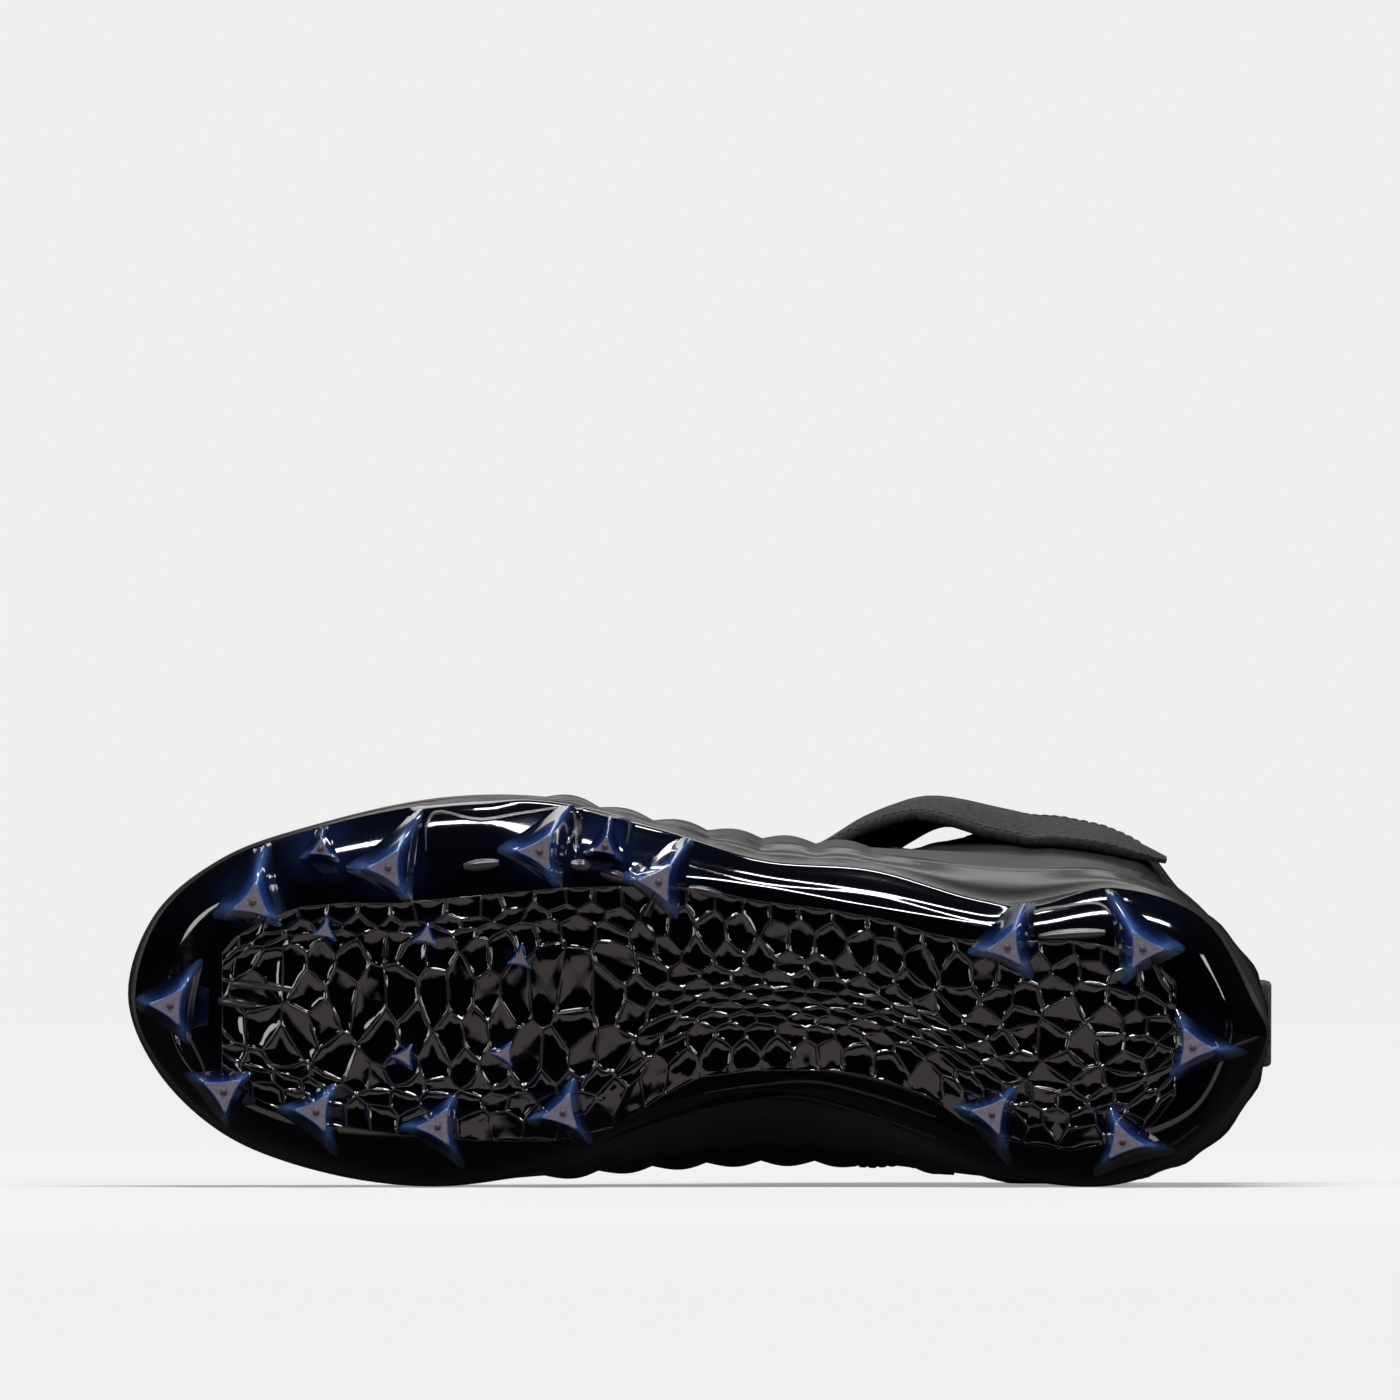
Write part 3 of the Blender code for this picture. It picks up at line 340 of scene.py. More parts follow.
def cloth_material(name, code, light, pitch_mm, depth_mm, rough=0.85):
    """A knitted or woven black cloth with loops pitch_mm apart."""
    made, tree, shader = start_material(name, Roughness=rough, IOR=1.45,
                                        Sheen_Weight=0.25, Sheen_Roughness=0.5)
    height = knit_height(tree, pitch_mm)
    place = add(tree, "ShaderNodeTexCoord")
    fuzz = add(tree, "ShaderNodeTexNoise", None,
               {"Vector": place.outputs["Object"], "Scale": MM / 0.6, "Detail": 4.0})
    level = add(tree, "ShaderNodeMath", {"operation": "MULTIPLY_ADD"},
                {0: height, 1: 0.3, 2: fuzz.outputs["Fac"]})
    tone = ramp(tree, level.outputs[0], ((0.2, code), (0.9, light)))
    tree.links.new(tone, shader.inputs["Base Color"])
    bump(tree, shader, level.outputs[0], depth_mm / MM)
    return made


def strap_material():
    """Grained elastic webbing with a felted face."""
    made, tree, shader = start_material("felted_elastic_webbing_black", Roughness=0.8,
                                        IOR=1.45, Sheen_Weight=0.1, Sheen_Roughness=0.4)
    place = add(tree, "ShaderNodeTexCoord")
    grain = add(tree, "ShaderNodeTexNoise", None,
                {"Vector": place.outputs["Object"], "Scale": MM / 1.5, "Detail": 5.0,
                 "Roughness": 0.7})
    tone = ramp(tree, grain.outputs["Fac"], ((0.36, "#0c0a0b"), (0.64, "#383132")))
    tree.links.new(tone, shader.inputs["Base Color"])
    bump(tree, shader, grain.outputs["Fac"], 0.00035)
    return made


UPPER_SKIN = upper_material()
LINING = cloth_material("knitted_lining_black", "#0e0d0e", "#1f1c1d", 1.2, 0.15)
TONGUE_KNIT = cloth_material("padded_tongue_knit_black", "#121011", "#262223", 1.6, 0.3)
INSOLE_CLOTH = cloth_material("insole_top_cloth_black", "#0d0d0e", "#232223", 1.0, 0.1, 0.95)
LACE_BRAID = cloth_material("braided_lace_black", "#0b0b0c", "#2a2829", 1.1, 0.22, 0.75)
TAB_WEB = cloth_material("woven_webbing_black", "#131213", "#2c2a2a", 1.2, 0.2, 0.7)
STRAP_WEB = strap_material()
THREAD = start_material("bonded_thread_dark_grey", Base_Color=colour("#2b2829"),
                        Roughness=0.6, Sheen_Weight=0.3)[0]
EYELET_RING = start_material("lacquered_eyelet_black", Base_Color=colour("#0d0d0e"),
                             Roughness=0.3, Coat_Weight=0.4)[0]
PIN_GREY = start_material("core_pin_mark_brown_grey", Base_Color=colour("#4a3c42"),
                          Roughness=0.5)[0]
print("materials", len(bpy.data.materials))

# %% [markdown]
# ## The last
# A shoe is built round a last, a form of the foot. Closed rings pass through listed
# sections from heel to toe: the plate's floor edge, its rim, the widest line of the upper,
# and the top edge along collar and throat. They are the imported model's rings, sampled four
# times as finely, so every visible piece agrees with the solids.

# %% Section table
TOE_SPRING = 0.018
ARCH_RISE = 0.0075
RIM_RISE = 0.014
FLANK_RISE = 0.028
COLLAR_HEIGHT = 0.122
INSTEP_HEIGHT = 0.093
STUD_HEIGHT = 0.012
FINE = 4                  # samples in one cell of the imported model
# Columns: at lean arch spring, floor out and in, rim out and in, rise out and in, set,
# flank out and in, up, top at, top out and in, collar, instep, full, pinch, cells
SECTIONS = (
    (0.005, 0.75, 0.25, 0, -0.025, 0.025, -0.04, 0.04, 1.15, 1.15,
     -0.001, -0.025, 0.025, 1.00, 0.022, 0, 0, 1.05, 0, 1.7, 1.0, 2),
    (0.017, 0.60, 0.15, 0, 0.09, 0.12, 0.065, 0.17, 1.10, 1.10,
     -0.003, 0.16, 0.22, 1.00, 0.030, 0.21, 0.21, 1.04, 0, 1.7, 1.0, 2),
    (0.060, 0.25, 0, 0, 0.22, 0.30, 0.34, 0.39, 0.93, 0.93,
     0, 0.365, 0.435, 1.00, 0.062, 0.385, 0.39, 1.00, 0, 1.7, 0.8, 3),
    (0.135, 0, 0, 0, 0.285, 0.39, 0.445, 0.54, 0.93, 0.93,
     0, 0.52, 0.54, 1.00, 0.132, 0.55, 0.505, 0.96, 0, 1.7, 0.6, 3),
    (0.236, 0, 0.2, 0, 0.29, 0.30, 0.393, 0.50, 1.00, 0.93,
     0, 0.555, 0.525, 1.15, 0.230, 0.60, 0.545, 0.96, 0, 1.7, 0.4, 4),
    (0.351, 0, 0.85, 0, 0.33, 0.155, 0.465, 0.295, 1.07, 0.93,
     0, 0.53, 0.44, 1.29, 0.328, 0.33, 0.30, 1.00, 0, 1.6, 0, 8),
    (0.446, 0, 1.00, 0, 0.35, 0.12, 0.447, 0.22, 1.07, 0.93,
     0, 0.507, 0.394, 1.29, 0.392, 0.216, 0.17, 0.45, 0.57, 1.5, 0, 8),
    (0.541, 0, 0.55, 0, 0.36, 0.155, 0.50, 0.27, 1.21, 0.93,
     0, 0.517, 0.381, 1.14, 0.459, 0.197, 0.128, 0, 1.00, 1.5, 0, 8),
    (0.635, 0, 0.10, 0, 0.343, 0.225, 0.549, 0.368, 1.36, 0.93,
     0, 0.564, 0.397, 1.00, 0.524, 0.182, 0.096, 0, 0.87, 1.6, 0, 3),
    (0.730, 0, 0, 0, 0.333, 0.275, 0.544, 0.42, 1.21, 1.00,
     0, 0.56, 0.414, 0.93, 0.581, 0.168, 0.074, 0, 0.775, 1.7, 0, 3),
    (0.831, 0, 0, 0.17, 0.353, 0.275, 0.485, 0.377, 1.00, 0.93,
     0, 0.495, 0.387, 0.96, 0.628, 0.152, 0.049, 0, 0.71, 1.8, 0, 3),
    (0.916, -0.35, 0, 0.47, 0.314, 0.215, 0.397, 0.27, 0.86, 0.86,
     0, 0.407, 0.294, 1.07, 0.659, 0.123, 0.015, 0, 0.667, 1.9, 0, 3),
    (0.973, -0.60, 0, 0.78, 0.225, 0.127, 0.25, 0.108, 0.79, 0.79,
     0.003, 0.265, 0.127, 1.21, 0.676, 0.088, -0.025, 0, 0.645, 2.0, 0, 2),
    (0.993, -0.75, 0, 0.95, 0.039, -0.039, 0.039, -0.039, 0.79, 0.79,
     0.007, 0.059, -0.059, 1.29, 0.681, 0.056, -0.056, 0, 0.64, 2.0, 0, 3),
)
COLUMNS = ("at lean arch spring floor_out floor_in rim_out rim_in rise_out rise_in set"
           " flank_out flank_in up top_at top_out top_in collar instep full pinch cells")
ROWS = [dict(zip(COLUMNS.split(), values)) for values in SECTIONS]
COLLAR_FRONT = 5
RIB_ROWS = (5, 8)
RIB_CELLS = 4


# %% Rings
def control_points(row, outer):
    side = "out" if outer else "in"
    sign = 1 if outer else -1
    wide, top_wide = local_width(row["at"]), local_width(row["top_at"])
    low = STUD_HEIGHT + row["arch"] * ARCH_RISE + row["spring"] * TOE_SPRING
    top = STUD_HEIGHT + row["collar"] * COLLAR_HEIGHT + row["instep"] * INSTEP_HEIGHT
    x = row["at"] * LENGTH
    return {
        "floor": Vector((x + row["lean"] * RIM_RISE, sign * row["floor_" + side] * wide, low)),
        "rim": Vector((x, sign * row["rim_" + side] * wide, low + row["rise_" + side] * RIM_RISE)),
        "flank": Vector((x + row["set"] * LENGTH, sign * row["flank_" + side] * wide,
                         STUD_HEIGHT + row["up"] * FLANK_RISE)),
        "top": Vector((row["top_at"] * LENGTH, sign * row["top_" + side] * top_wide, top)),
    }


def spline(before, start, end, after, share):
    """Centripetal curve between two control points."""
    knots = [0.0]
    for a, b in ((before, start), (start, end), (end, after)):
        knots.append(knots[-1] + max((b - a).length, 1e-6) ** 0.5)
    t = knots[1] + (knots[2] - knots[1]) * share

    def mix(a, b, lo, hi):
        return a * ((hi - t) / (hi - lo)) + b * ((t - lo) / (hi - lo))

    p12 = mix(start, end, knots[1], knots[2])
    p012 = mix(mix(before, start, knots[0], knots[1]), p12, knots[0], knots[2])
    p123 = mix(p12, mix(end, after, knots[2], knots[3]), knots[1], knots[3])
    return mix(p012, p123, knots[1], knots[2])


def curve_through(stops, steps):
    """A smooth route through stops."""
    dense = []
    for n in range(len(stops) - 1):
        before = stops[n - 1] if n else stops[0] * 2 - stops[1]
        after = stops[n + 2] if n + 2 < len(stops) else stops[-1] * 2 - stops[-2]
        for step in range(steps):
            dense.append(spline(before, stops[n], stops[n + 1], after, step / steps))
    dense.append(stops[-1])
    return dense


order = [(i, True) for i in range(len(ROWS))] + [(i, False) for i in range(len(ROWS) - 2, 0, -1)]
controls = [control_points(ROWS[i], outer) for i, outer in order]
RING = {name: [] for name in ("floor", "rim", "flank", "top")}
FULL, PINCH, RIB, ROW_START = [], [], [], {}
for spot, (i, outer) in enumerate(order):
    j = order[(spot + 1) % len(order)][0]
    cells = ROWS[min(i, j)]["cells"]
    if outer:
        ROW_START[i] = len(FULL)
    for step in range(cells * FINE):
        share = step / (cells * FINE)
        for name, ring in RING.items():
            ring.append(spline(controls[spot - 1][name], controls[spot][name],
                               controls[(spot + 1) % len(order)][name],
                               controls[(spot + 2) % len(order)][name], share))
        FULL.append(ROWS[i]["full"] + (ROWS[j]["full"] - ROWS[i]["full"]) * share)
        PINCH.append(ROWS[i]["pinch"] + (ROWS[j]["pinch"] - ROWS[i]["pinch"]) * share)
        cell = step / FINE if i < j else cells - step / FINE
        ribbed = RIB_ROWS[0] <= min(i, j) < RIB_ROWS[1]
        RIB.append(abs(math.sin(math.pi * cell / RIB_CELLS)) if ribbed else 0.0)
COUNT = len(FULL)
TOE = COUNT // 2
for k in range(1, TOE):
    RING["floor"][k].z = RING["floor"][-k].z = (RING["floor"][k].z + RING["floor"][-k].z) / 2
INWARD = []
for k in range(COUNT):
    run = RING["rim"][(k + 1) % COUNT] - RING["rim"][k - 1]
    INWARD.append(Vector((run.y, -run.x, 0)).normalized())
print("samples round the shoe", COUNT)


# %% Surface helpers
PLATE_FLOOR, PLATE_SIDE, GAP, UPPER_WALL = 0.0028, 0.0018, 0.0003, 0.0022
FLOOR_X = [RING["floor"][k].x for k in range(TOE + 1)]
FLOOR_Z = [RING["floor"][k].z for k in range(TOE + 1)]


def floor_up(along):
    return float(np.interp(along, FLOOR_X, FLOOR_Z))


def mate(k):
    return (COUNT - k) % COUNT


def rows_at(k):
    """Place of a sample along the table, as a row number with a share."""
    k = min(k, mate(k))
    starts = [ROW_START[i] for i in range(len(ROWS))]
    return float(np.interp(k, starts, range(len(ROWS))))


ROW_AT = [rows_at(k) for k in range(COUNT)]


def band_share(value, low, high, blur):
    """1 between low and high, easing to 0 over blur outside them."""
    return ease((value - low) / blur + 1) * ease((high - value) / blur + 1)


def wall_point(k, share):
    """The plate's outer side between floor edge (0) and rim (1)."""
    floor, rim = RING["floor"][k], RING["rim"][k]
    knee = Vector((floor.x + (rim.x - floor.x) * 0.72, floor.y + (rim.y - floor.y) * 0.72,
                   floor.z + (rim.z - floor.z) * 0.16))
    return floor * (1 - share) ** 2 + knee * (2 * share * (1 - share)) + rim * share ** 2


def inner_wall(k, extra):
    walls = (PLATE_SIDE * 1.3, PLATE_SIDE * 1.15, PLATE_SIDE, PLATE_SIDE * 0.8)
    lifts = (PLATE_FLOOR, PLATE_SIDE * 0.8, PLATE_SIDE * 0.3, 0.0)
    made = []
    for share, wall, lift in zip((0.0, 0.35, 0.68, 1.0), walls, lifts):
        up = lift + (extra if lift else 0.0)
        made.append(wall_point(k, share) + INWARD[k] * (wall + extra) + Vector((0, 0, up)))
    made[0].z = floor_up(made[0].x) + PLATE_FLOOR + extra
    return made


DOUBLES, SLIVERS = 1e-6, 1e-7


def build(name, points, faces, materials, slots=None):
    """A mesh object in its place on the shoe as it lies."""
    bm = bmesh.new()
    verts = [bm.verts.new(PLACE @ Vector(p)) for p in points]
    for n, face in enumerate(faces):
        ring = list(dict.fromkeys(face))
        if len(ring) > 2:
            made = bm.faces.new([verts[i] for i in ring])
            made.material_index = slots[n] if slots else 0
    mesh = bpy.data.meshes.new(name)
    bm.to_mesh(mesh)
    bm.free()
    for material in materials:
        mesh.materials.append(material)
    made = bpy.data.objects.new(name, mesh)
    bpy.context.scene.collection.objects.link(made)
    return made


def attribute(piece, name, values, kind="FLOAT"):
    """Stores one value or vector for each point of a piece."""
    data = piece.data.attributes.new(name, kind, "POINT")
    key = "value" if kind == "FLOAT" else "vector"
    data.data.foreach_set(key, np.array(values, np.float32).ravel())


def tidy_mesh(piece, angle=40):
    """Merges doubles, turns closed shells outwards and shades smooth up to an angle."""
    bm = bmesh.new()
    bm.from_mesh(piece.data)
    bmesh.ops.remove_doubles(bm, verts=bm.verts, dist=DOUBLES)
    bmesh.ops.dissolve_degenerate(bm, edges=bm.edges, dist=SLIVERS)
    bmesh.ops.recalc_face_normals(bm, faces=bm.faces)
    bm.to_mesh(piece.data)
    bm.free()
    piece.data.shade_smooth()
    piece.data.set_sharp_from_angle(angle=math.radians(angle))
    return piece


def hand_over(piece, slot, *nodes):
    """Lets a piece ride on the shoe and hides the imported parts that it stands for; slot is not
    used.
    """
    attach(piece, "root")
    if nodes:
        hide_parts(*nodes)
    print(piece.name, len(piece.data.polygons), "faces")


def strip(faces, low, high, count, closed=True):
    """Quads between two rows of points."""
    for k in range(count if closed else count - 1):
        n = (k + 1) % count
        faces.append((low + k, low + n, high + n, high + k))


def fill_ring(points, faces, first, cross):
    """Closes a ring whose samples mirror each other with a grid of cross columns."""
    half = TOE
    place = {}
    for row in range(1, half):
        a, b = Vector(points[first + row]), Vector(points[first + COUNT - row])
        for c in range(cross):
            place[(row, c)] = len(points)
            points.append(a.lerp(b, (c + 1) / (cross + 1)))
    for row in range(half):
        lines = []
        for r in (row, row + 1):
            if r in (0, half):
                lines.append([first + r] * (cross + 2))
            else:
                lines.append([first + r] + [place[(r, c)] for c in range(cross)]
                             + [first + COUNT - r])
        for c in range(cross + 1):
            faces.append((lines[0][c], lines[0][c + 1], lines[1][c + 1], lines[1][c]))


# %% [markdown]
# ## Plate body
# The plate is a thin tray: a floor under the foot and a side wall that cups the upper. On
# the outer side its wall is drawn into a long S-shaped channel with a bead along the top,
# which catches the light as two bright bands. At toe and heel the wall is cut flat like a
# chamfer. A grid from the rings shows these forms best, because each level is a real line.

# %% Studs table
STUD_TIP, FIN_HEIGHT, NUB_HEIGHT = 0.0066, 0.0075, 0.0040
# Columns: place along, place across, turn of the ridge corner, reach of the ridge
MAIN_STUDS = (
    (0.962, 0.031, 124, 1.3), (0.890, 0.294, 100, 1.7), (0.772, 0.382, 119, 1.5),
    (0.640, 0.424, 122, 1.5), (0.536, 0.357, 125, 1.5), (0.915, -0.186, 265, 1.0),
    (0.834, -0.236, 245, 1.1), (0.728, -0.272, 238, 1.1), (0.619, -0.236, 228, 1.1),
    (0.232, 0.245, 112, 1.6), (0.114, 0.242, 60, 1.6), (0.070, -0.087, 185, 1.2),
    (0.245, -0.310, 250, 1.2), (0.131, -0.404, 190, 1.2),
)
EDGE_FINS = ((0.831, 0.430, 95, 1.3), (0.583, 0.440, 100, 1.3))
INNER_NUBS = ((0.827, 0.222, 100, 1.0), (0.739, 0.209, 100, 1.0), (0.657, 0.153, 100, 1.0),
              (0.757, -0.095, 240, 1.0), (0.670, -0.087, 240, 1.0))
TINT_SPOTS = np.array([(at * LENGTH, across * local_width(at), 0.0085)
                       for at, across, _t, _r in MAIN_STUDS + EDGE_FINS]
                      + [(at * LENGTH, across * local_width(at), 0.0055)
                         for at, across, _t, _r in INNER_NUBS])


def stud_tint(x, y):
    """How blue the plate is here: strongest at the studs' roots."""
    away = np.hypot(TINT_SPOTS[:, 0] - x, TINT_SPOTS[:, 1] - y)
    return float(np.max(np.exp(-(away / TINT_SPOTS[:, 2]) ** 2)))


# %% Plate mesh
WALL_LEVELS = [n / 14 for n in range(15)]
# Square-edged blocks of the outer forefoot: from and to, in metres from the heel
BLOCKS = ((0.1812, 0.2206), (0.1675, 0.1783))


def dressed_wall(k, share):
    """The plate's side with its channel, beads and flat-cut ends."""
    point = wall_point(k, share)
    x = point.x
    flat = RING["floor"][k].lerp(RING["rim"][k], share)
    ends = max(ease((x - 0.255) / 0.02), ease((0.020 - x) / 0.015)) * 0.75
    point = point.lerp(flat, ends * math.sin(math.pi * share) ** 0.5)
    outer = k < TOE
    square = max(band_share(x, low, high, 0.0016) for low, high in BLOCKS) if outer else 0.0
    if square > 0:
        floor, rim = RING["floor"][k], RING["rim"][k]
        corner = Vector((rim.x, floor.y + (rim.y - floor.y) * 1.02,
                         floor.z + (rim.z - floor.z) * 0.10))
        boxy = (floor * (1 - share) ** 2 + corner * (2 * share * (1 - share)) + rim * share ** 2)
        point = point.lerp(boxy, square)
    channel = band_share(x, 0.075, 0.192, 0.012) if outer else 0.0
    shape = 0.0011 * math.exp(-((share - 0.86) / 0.10) ** 2)
    shape += 0.0009 * math.exp(-((share - 0.06) / 0.07) ** 2)
    shape -= 0.0012 * math.exp(-((share - 0.50) / 0.20) ** 2)
    inner_line = 0.0 if outer else 0.0007 * band_share(x, 0.08, 0.17, 0.02)
    shape = shape * channel + inner_line * math.exp(-((share - 0.45) / 0.08) ** 2)
    lip = 0.0004 * math.exp(-((share - 0.97) / 0.03) ** 2)
    return point - INWARD[k] * (shape + lip) * 0.7 - Vector((0, 0, (shape + lip) * 0.7))


points, faces = [], []
for share in WALL_LEVELS:
    points += [dressed_wall(k, share) for k in range(COUNT)]
inside = [inner_wall(k, 0.0) for k in range(COUNT)]
for level in (3, 2, 1, 0):
    points += [inside[k][level] for k in range(COUNT)]
levels = len(WALL_LEVELS) + 4
for level in range(levels - 1):
    strip(faces, level * COUNT, (level + 1) * COUNT, COUNT)
fill_ring(points, faces, 0, 36)
fill_ring(points, faces, (levels - 1) * COUNT, 3)
plate_body = build("plate_body", points, faces, [GLOSS_PLATE])
blue = [0.9 * stud_tint(p[0], p[1]) + 0.3 * ease((p[1] - 0.02) / 0.01) for p in points]
attribute(plate_body, "tint", blue)
tidy_mesh(plate_body, angle=50)
PLATE_SKIN = BVHTree.FromPolygons([Vector(p) for p in points], faces)
hand_over(plate_body, "plate", "outsole")


def under_plate(x, y):
    """Height of the plate's underside at a place, or None beside it."""
    hit = PLATE_SKIN.ray_cast(Vector((x, y, -0.5)), Vector((0, 0, 1)))[0]
    return None if hit is None else hit.z


# %% [markdown]
# ## Scales
# The floor of the plate is covered in concave cells with thin raised borders, like the skin
# of a reptile: large at the edges, flat and narrow along the middle of the shank, and loose
# large ones in the forefoot. The cells are the nearest-seed regions of a staggered grid of
# seeds, worked out in a stretched plane and mapped to the sole, so that rows can narrow.
# Mesh code cuts them, because each crest then is a real edge and stays crisp.

# %% Zone of the scales, in millimetres: place along, outer border, inner border
SCALE_ZONE = (
    (273, 15, -13), (268, 21, -18), (260, 26, -22), (251, 29, -25.5), (240, 30, -28),
    (226, 30, -30), (205, 32, -31.5), (185, 34, -31.5), (170, 34.5, -28), (158, 34.5, -20),
    (148, 34, -15), (134, 31, -13.2), (113, 28.4, -13), (100, 26, -15.5), (88, 22.5, -20),
    (80, 21, -26), (68, 20.5, -31), (52, 21, -33.5), (40, 19, -31), (31, 16, -27),
    (25, 10, -19),
)
ZONE_X = [row[0] / MM for row in SCALE_ZONE][::-1]
ZONE_OUT = [row[1] / MM for row in SCALE_ZONE][::-1]
ZONE_IN = [row[2] / MM for row in SCALE_ZONE][::-1]
# Heights of the rows from the outer to the inner border, in millimetres
ROWS_HEEL = (6.0, 5.5, 6.0, 7.0, 6.0, 5.0, 4.5, 4.2, 5.0, 6.0)
ROWS_SHANK = (5.8, 9.0, 5.6, 3.8, 2.9, 2.5, 2.5, 3.0, 4.6, 8.8)
ROWS_FORE = (5.0, 2.7, 2.7, 8.5, 10.5, 9.0, 8.0, 3.0, 4.2, 6.6)
CELL_LONG = 0.0077


def row_heights(x):
    fore = ease((x - 0.150) / 0.03)
    heel = ease((0.085 - x) / 0.025)
    shank = np.array(ROWS_SHANK)
    return shank * (1 - fore - heel) + np.array(ROWS_FORE) * fore + np.array(ROWS_HEEL) * heel


def zone_point(u, w):
    """Maps cell number along and row number across to a place on the sole."""
    x = ZONE_X[0] + u * CELL_LONG
    edges = np.concatenate(([0.0], np.cumsum(row_heights(x))))
    share = float(np.interp(w, range(len(edges)), edges)) / edges[-1]
    outer = float(np.interp(x, ZONE_X, ZONE_OUT))
    inner = float(np.interp(x, ZONE_X, ZONE_IN))
    return x, outer + (inner - outer) * share


# %% Cells
def clip(polygon, normal, limit):
    """Keeps the part of a polygon where normal . p is below limit."""
    kept = []
    for a, b in zip(polygon, polygon[1:] + polygon[:1]):
        da = a[0] * normal[0] + a[1] * normal[1] - limit
        db = b[0] * normal[0] + b[1] * normal[1] - limit
        if da <= 0:
            kept.append(a)
        if (da < 0 < db) or (db < 0 < da):
            t = da / (da - db)
            kept.append((a[0] + (b[0] - a[0]) * t, a[1] + (b[1] - a[1]) * t))
    return kept


dice = np.random.default_rng(7)
LONG_CELLS = int((ZONE_X[-1] - ZONE_X[0]) / CELL_LONG)
seeds = []
for row in range(10):
    for n in range(-1, LONG_CELLS + 2):
        loose = 0.20 if 8 < n < 17 else 0.30
        gone = 0.26 if n >= 18 and 2 < row < 7 else (0.14 if n < 9 else 0.0)
        if dice.random() < gone:
            continue
        seeds.append((n + (row % 2) * 0.5 + dice.uniform(-loose, loose),
                      row + 0.5 + dice.uniform(-loose, loose) * 0.8))
POINTED = 0.70            # squeezes the plane across, which gives cells pointed ends
seeds = np.array(seeds) * (1, POINTED)
CELL_SHAPES = []
for n, seed in enumerate(seeds):
    shape = [(seed[0] - 2, seed[1] - 2), (seed[0] + 2, seed[1] - 2),
             (seed[0] + 2, seed[1] + 2), (seed[0] - 2, seed[1] + 2)]
    for other in seeds[np.argsort(np.hypot(*(seeds - seed).T))[1:14]]:
        normal = other - seed
        shape = clip(shape, normal, float(normal @ (other + seed)) / 2)
    for normal, limit in (((-1, 0), 0), ((1, 0), LONG_CELLS), ((0, -1), 0),
                          ((0, 1), 10 * POINTED)):
        shape = clip(shape, normal, limit) if shape else shape
    if len(shape) > 2:
        CELL_SHAPES.append([(u, w / POINTED) for u, w in shape])
print("cells", len(CELL_SHAPES))


# %% Scale field mesh
CREST_UP, CREST_WIDE, FIELD_UP = 0.0005, 0.00055, 0.0011
EDGE_STEP = 0.22          # longest border step, in cells
points, faces, crest_wear_and_highlight, tint = [], [], [], []


def field_point(x, y, up):
    """A point on the field, up above the plate's underside."""
    base = under_plate(x, y)
    points.append(Vector((x, y, (base if base is not None else floor_up(x)) - up)))
    tint.append(0.8 * stud_tint(x, y))
    return len(points) - 1


for shape in CELL_SHAPES:
    border = []
    for a, b in zip(shape, shape[1:] + shape[:1]):
        far = math.hypot(b[0] - a[0], b[1] - a[1])
        steps = max(1, round(far / EDGE_STEP))
        for step in range(steps):
            t = step / steps
            border.append(zone_point(a[0] + (b[0] - a[0]) * t, a[1] + (b[1] - a[1]) * t))
    centre = np.mean([zone_point(*p) for p in shape], axis=0)
    reach = [math.hypot(p[0] - centre[0], p[1] - centre[1]) for p in border]
    room = min(np.ptp([p[0] for p in border]), np.ptp([p[1] for p in border])) / 2
    depth = min(0.0012, 0.24 * room)
    slope = dice.uniform(-0.16, 0.16, 2)
    rings = []
    # The light value paints the crest borders lighter: a painted highlight along each ridge, partly
    # wear
    for level, (share, drop, light) in enumerate(
            ((0.0, 0.0, 1.0), (0.5, 0.12, 0.55), (1.0, 0.45, 0.0), (2.0, 0.62, 0.0),
             (None, 0.88, 0.0), (None, 0.97, 0.0))):
        ring = []
        for p, far in zip(border, reach):
            if share is None:
                inset = (0.45, 0.75)[level - 4]
            else:
                inset = min(0.30 * (level + 0.001) / 3, share * CREST_WIDE / max(far, 1e-6))
            x = p[0] + (centre[0] - p[0]) * inset
            y = p[1] + (centre[1] - p[1]) * inset
            lean = (slope[0] * (x - centre[0]) + slope[1] * (y - centre[1])) * min(1, level / 3)
            ring.append(field_point(x, y, FIELD_UP + CREST_UP - depth * drop + lean))
            crest_wear_and_highlight.append(light * 0.8)
        rings.append(ring)
    middle = field_point(centre[0], centre[1], FIELD_UP + CREST_UP - depth)
    crest_wear_and_highlight.append(0.0)
    count = len(border)
    for outer_ring, inner_ring in zip(rings, rings[1:]):
        for n in range(count):
            m = (n + 1) % count
            faces.append((outer_ring[n], outer_ring[m], inner_ring[m], inner_ring[n]))
    for n in range(count):
        faces.append((rings[-1][n], rings[-1][(n + 1) % count], middle))
plate_scales = build("plate_scales", points, faces, [GLOSS_PLATE])
attribute(plate_scales, "tint", tint)
attribute(plate_scales, "crest_wear_and_highlight", crest_wear_and_highlight)
bm = bmesh.new()
bm.from_mesh(plate_scales.data)
bmesh.ops.remove_doubles(bm, verts=bm.verts, dist=2e-5)
rim_edges = [edge for edge in bm.edges if edge.is_boundary]
skirt = bmesh.ops.extrude_edge_only(bm, edges=rim_edges)["geom"]
into_plate = TURN @ Vector((0, 0, 1))
for vert in skirt:
    if isinstance(vert, bmesh.types.BMVert):
        vert.co += into_plate * 0.0026
bm.to_mesh(plate_scales.data)
bm.free()
plate_scales.data.shade_smooth()
hand_over(plate_scales, "plate")

# %% [markdown]
# ## Stud shapes
# A stud has three thin corners and hollow sides, and its flanks flare into the plate. One
# corner of each outer stud runs out as a fin towards the rim. Each stud is a stack of
# three-cornered rings from the tip down to a root that lies in the plate's own surface.


# %% Stud mesh
SIDE_STEPS = 12
CORNER_STEPS = (0.2, 0.4, 0.6, 0.8)
SIDE_POINTS = SIDE_STEPS + len(CORNER_STEPS)
RING_POINTS = 3 * SIDE_POINTS
HOLLOW, CORNER_ROUND = 0.70, 0.15


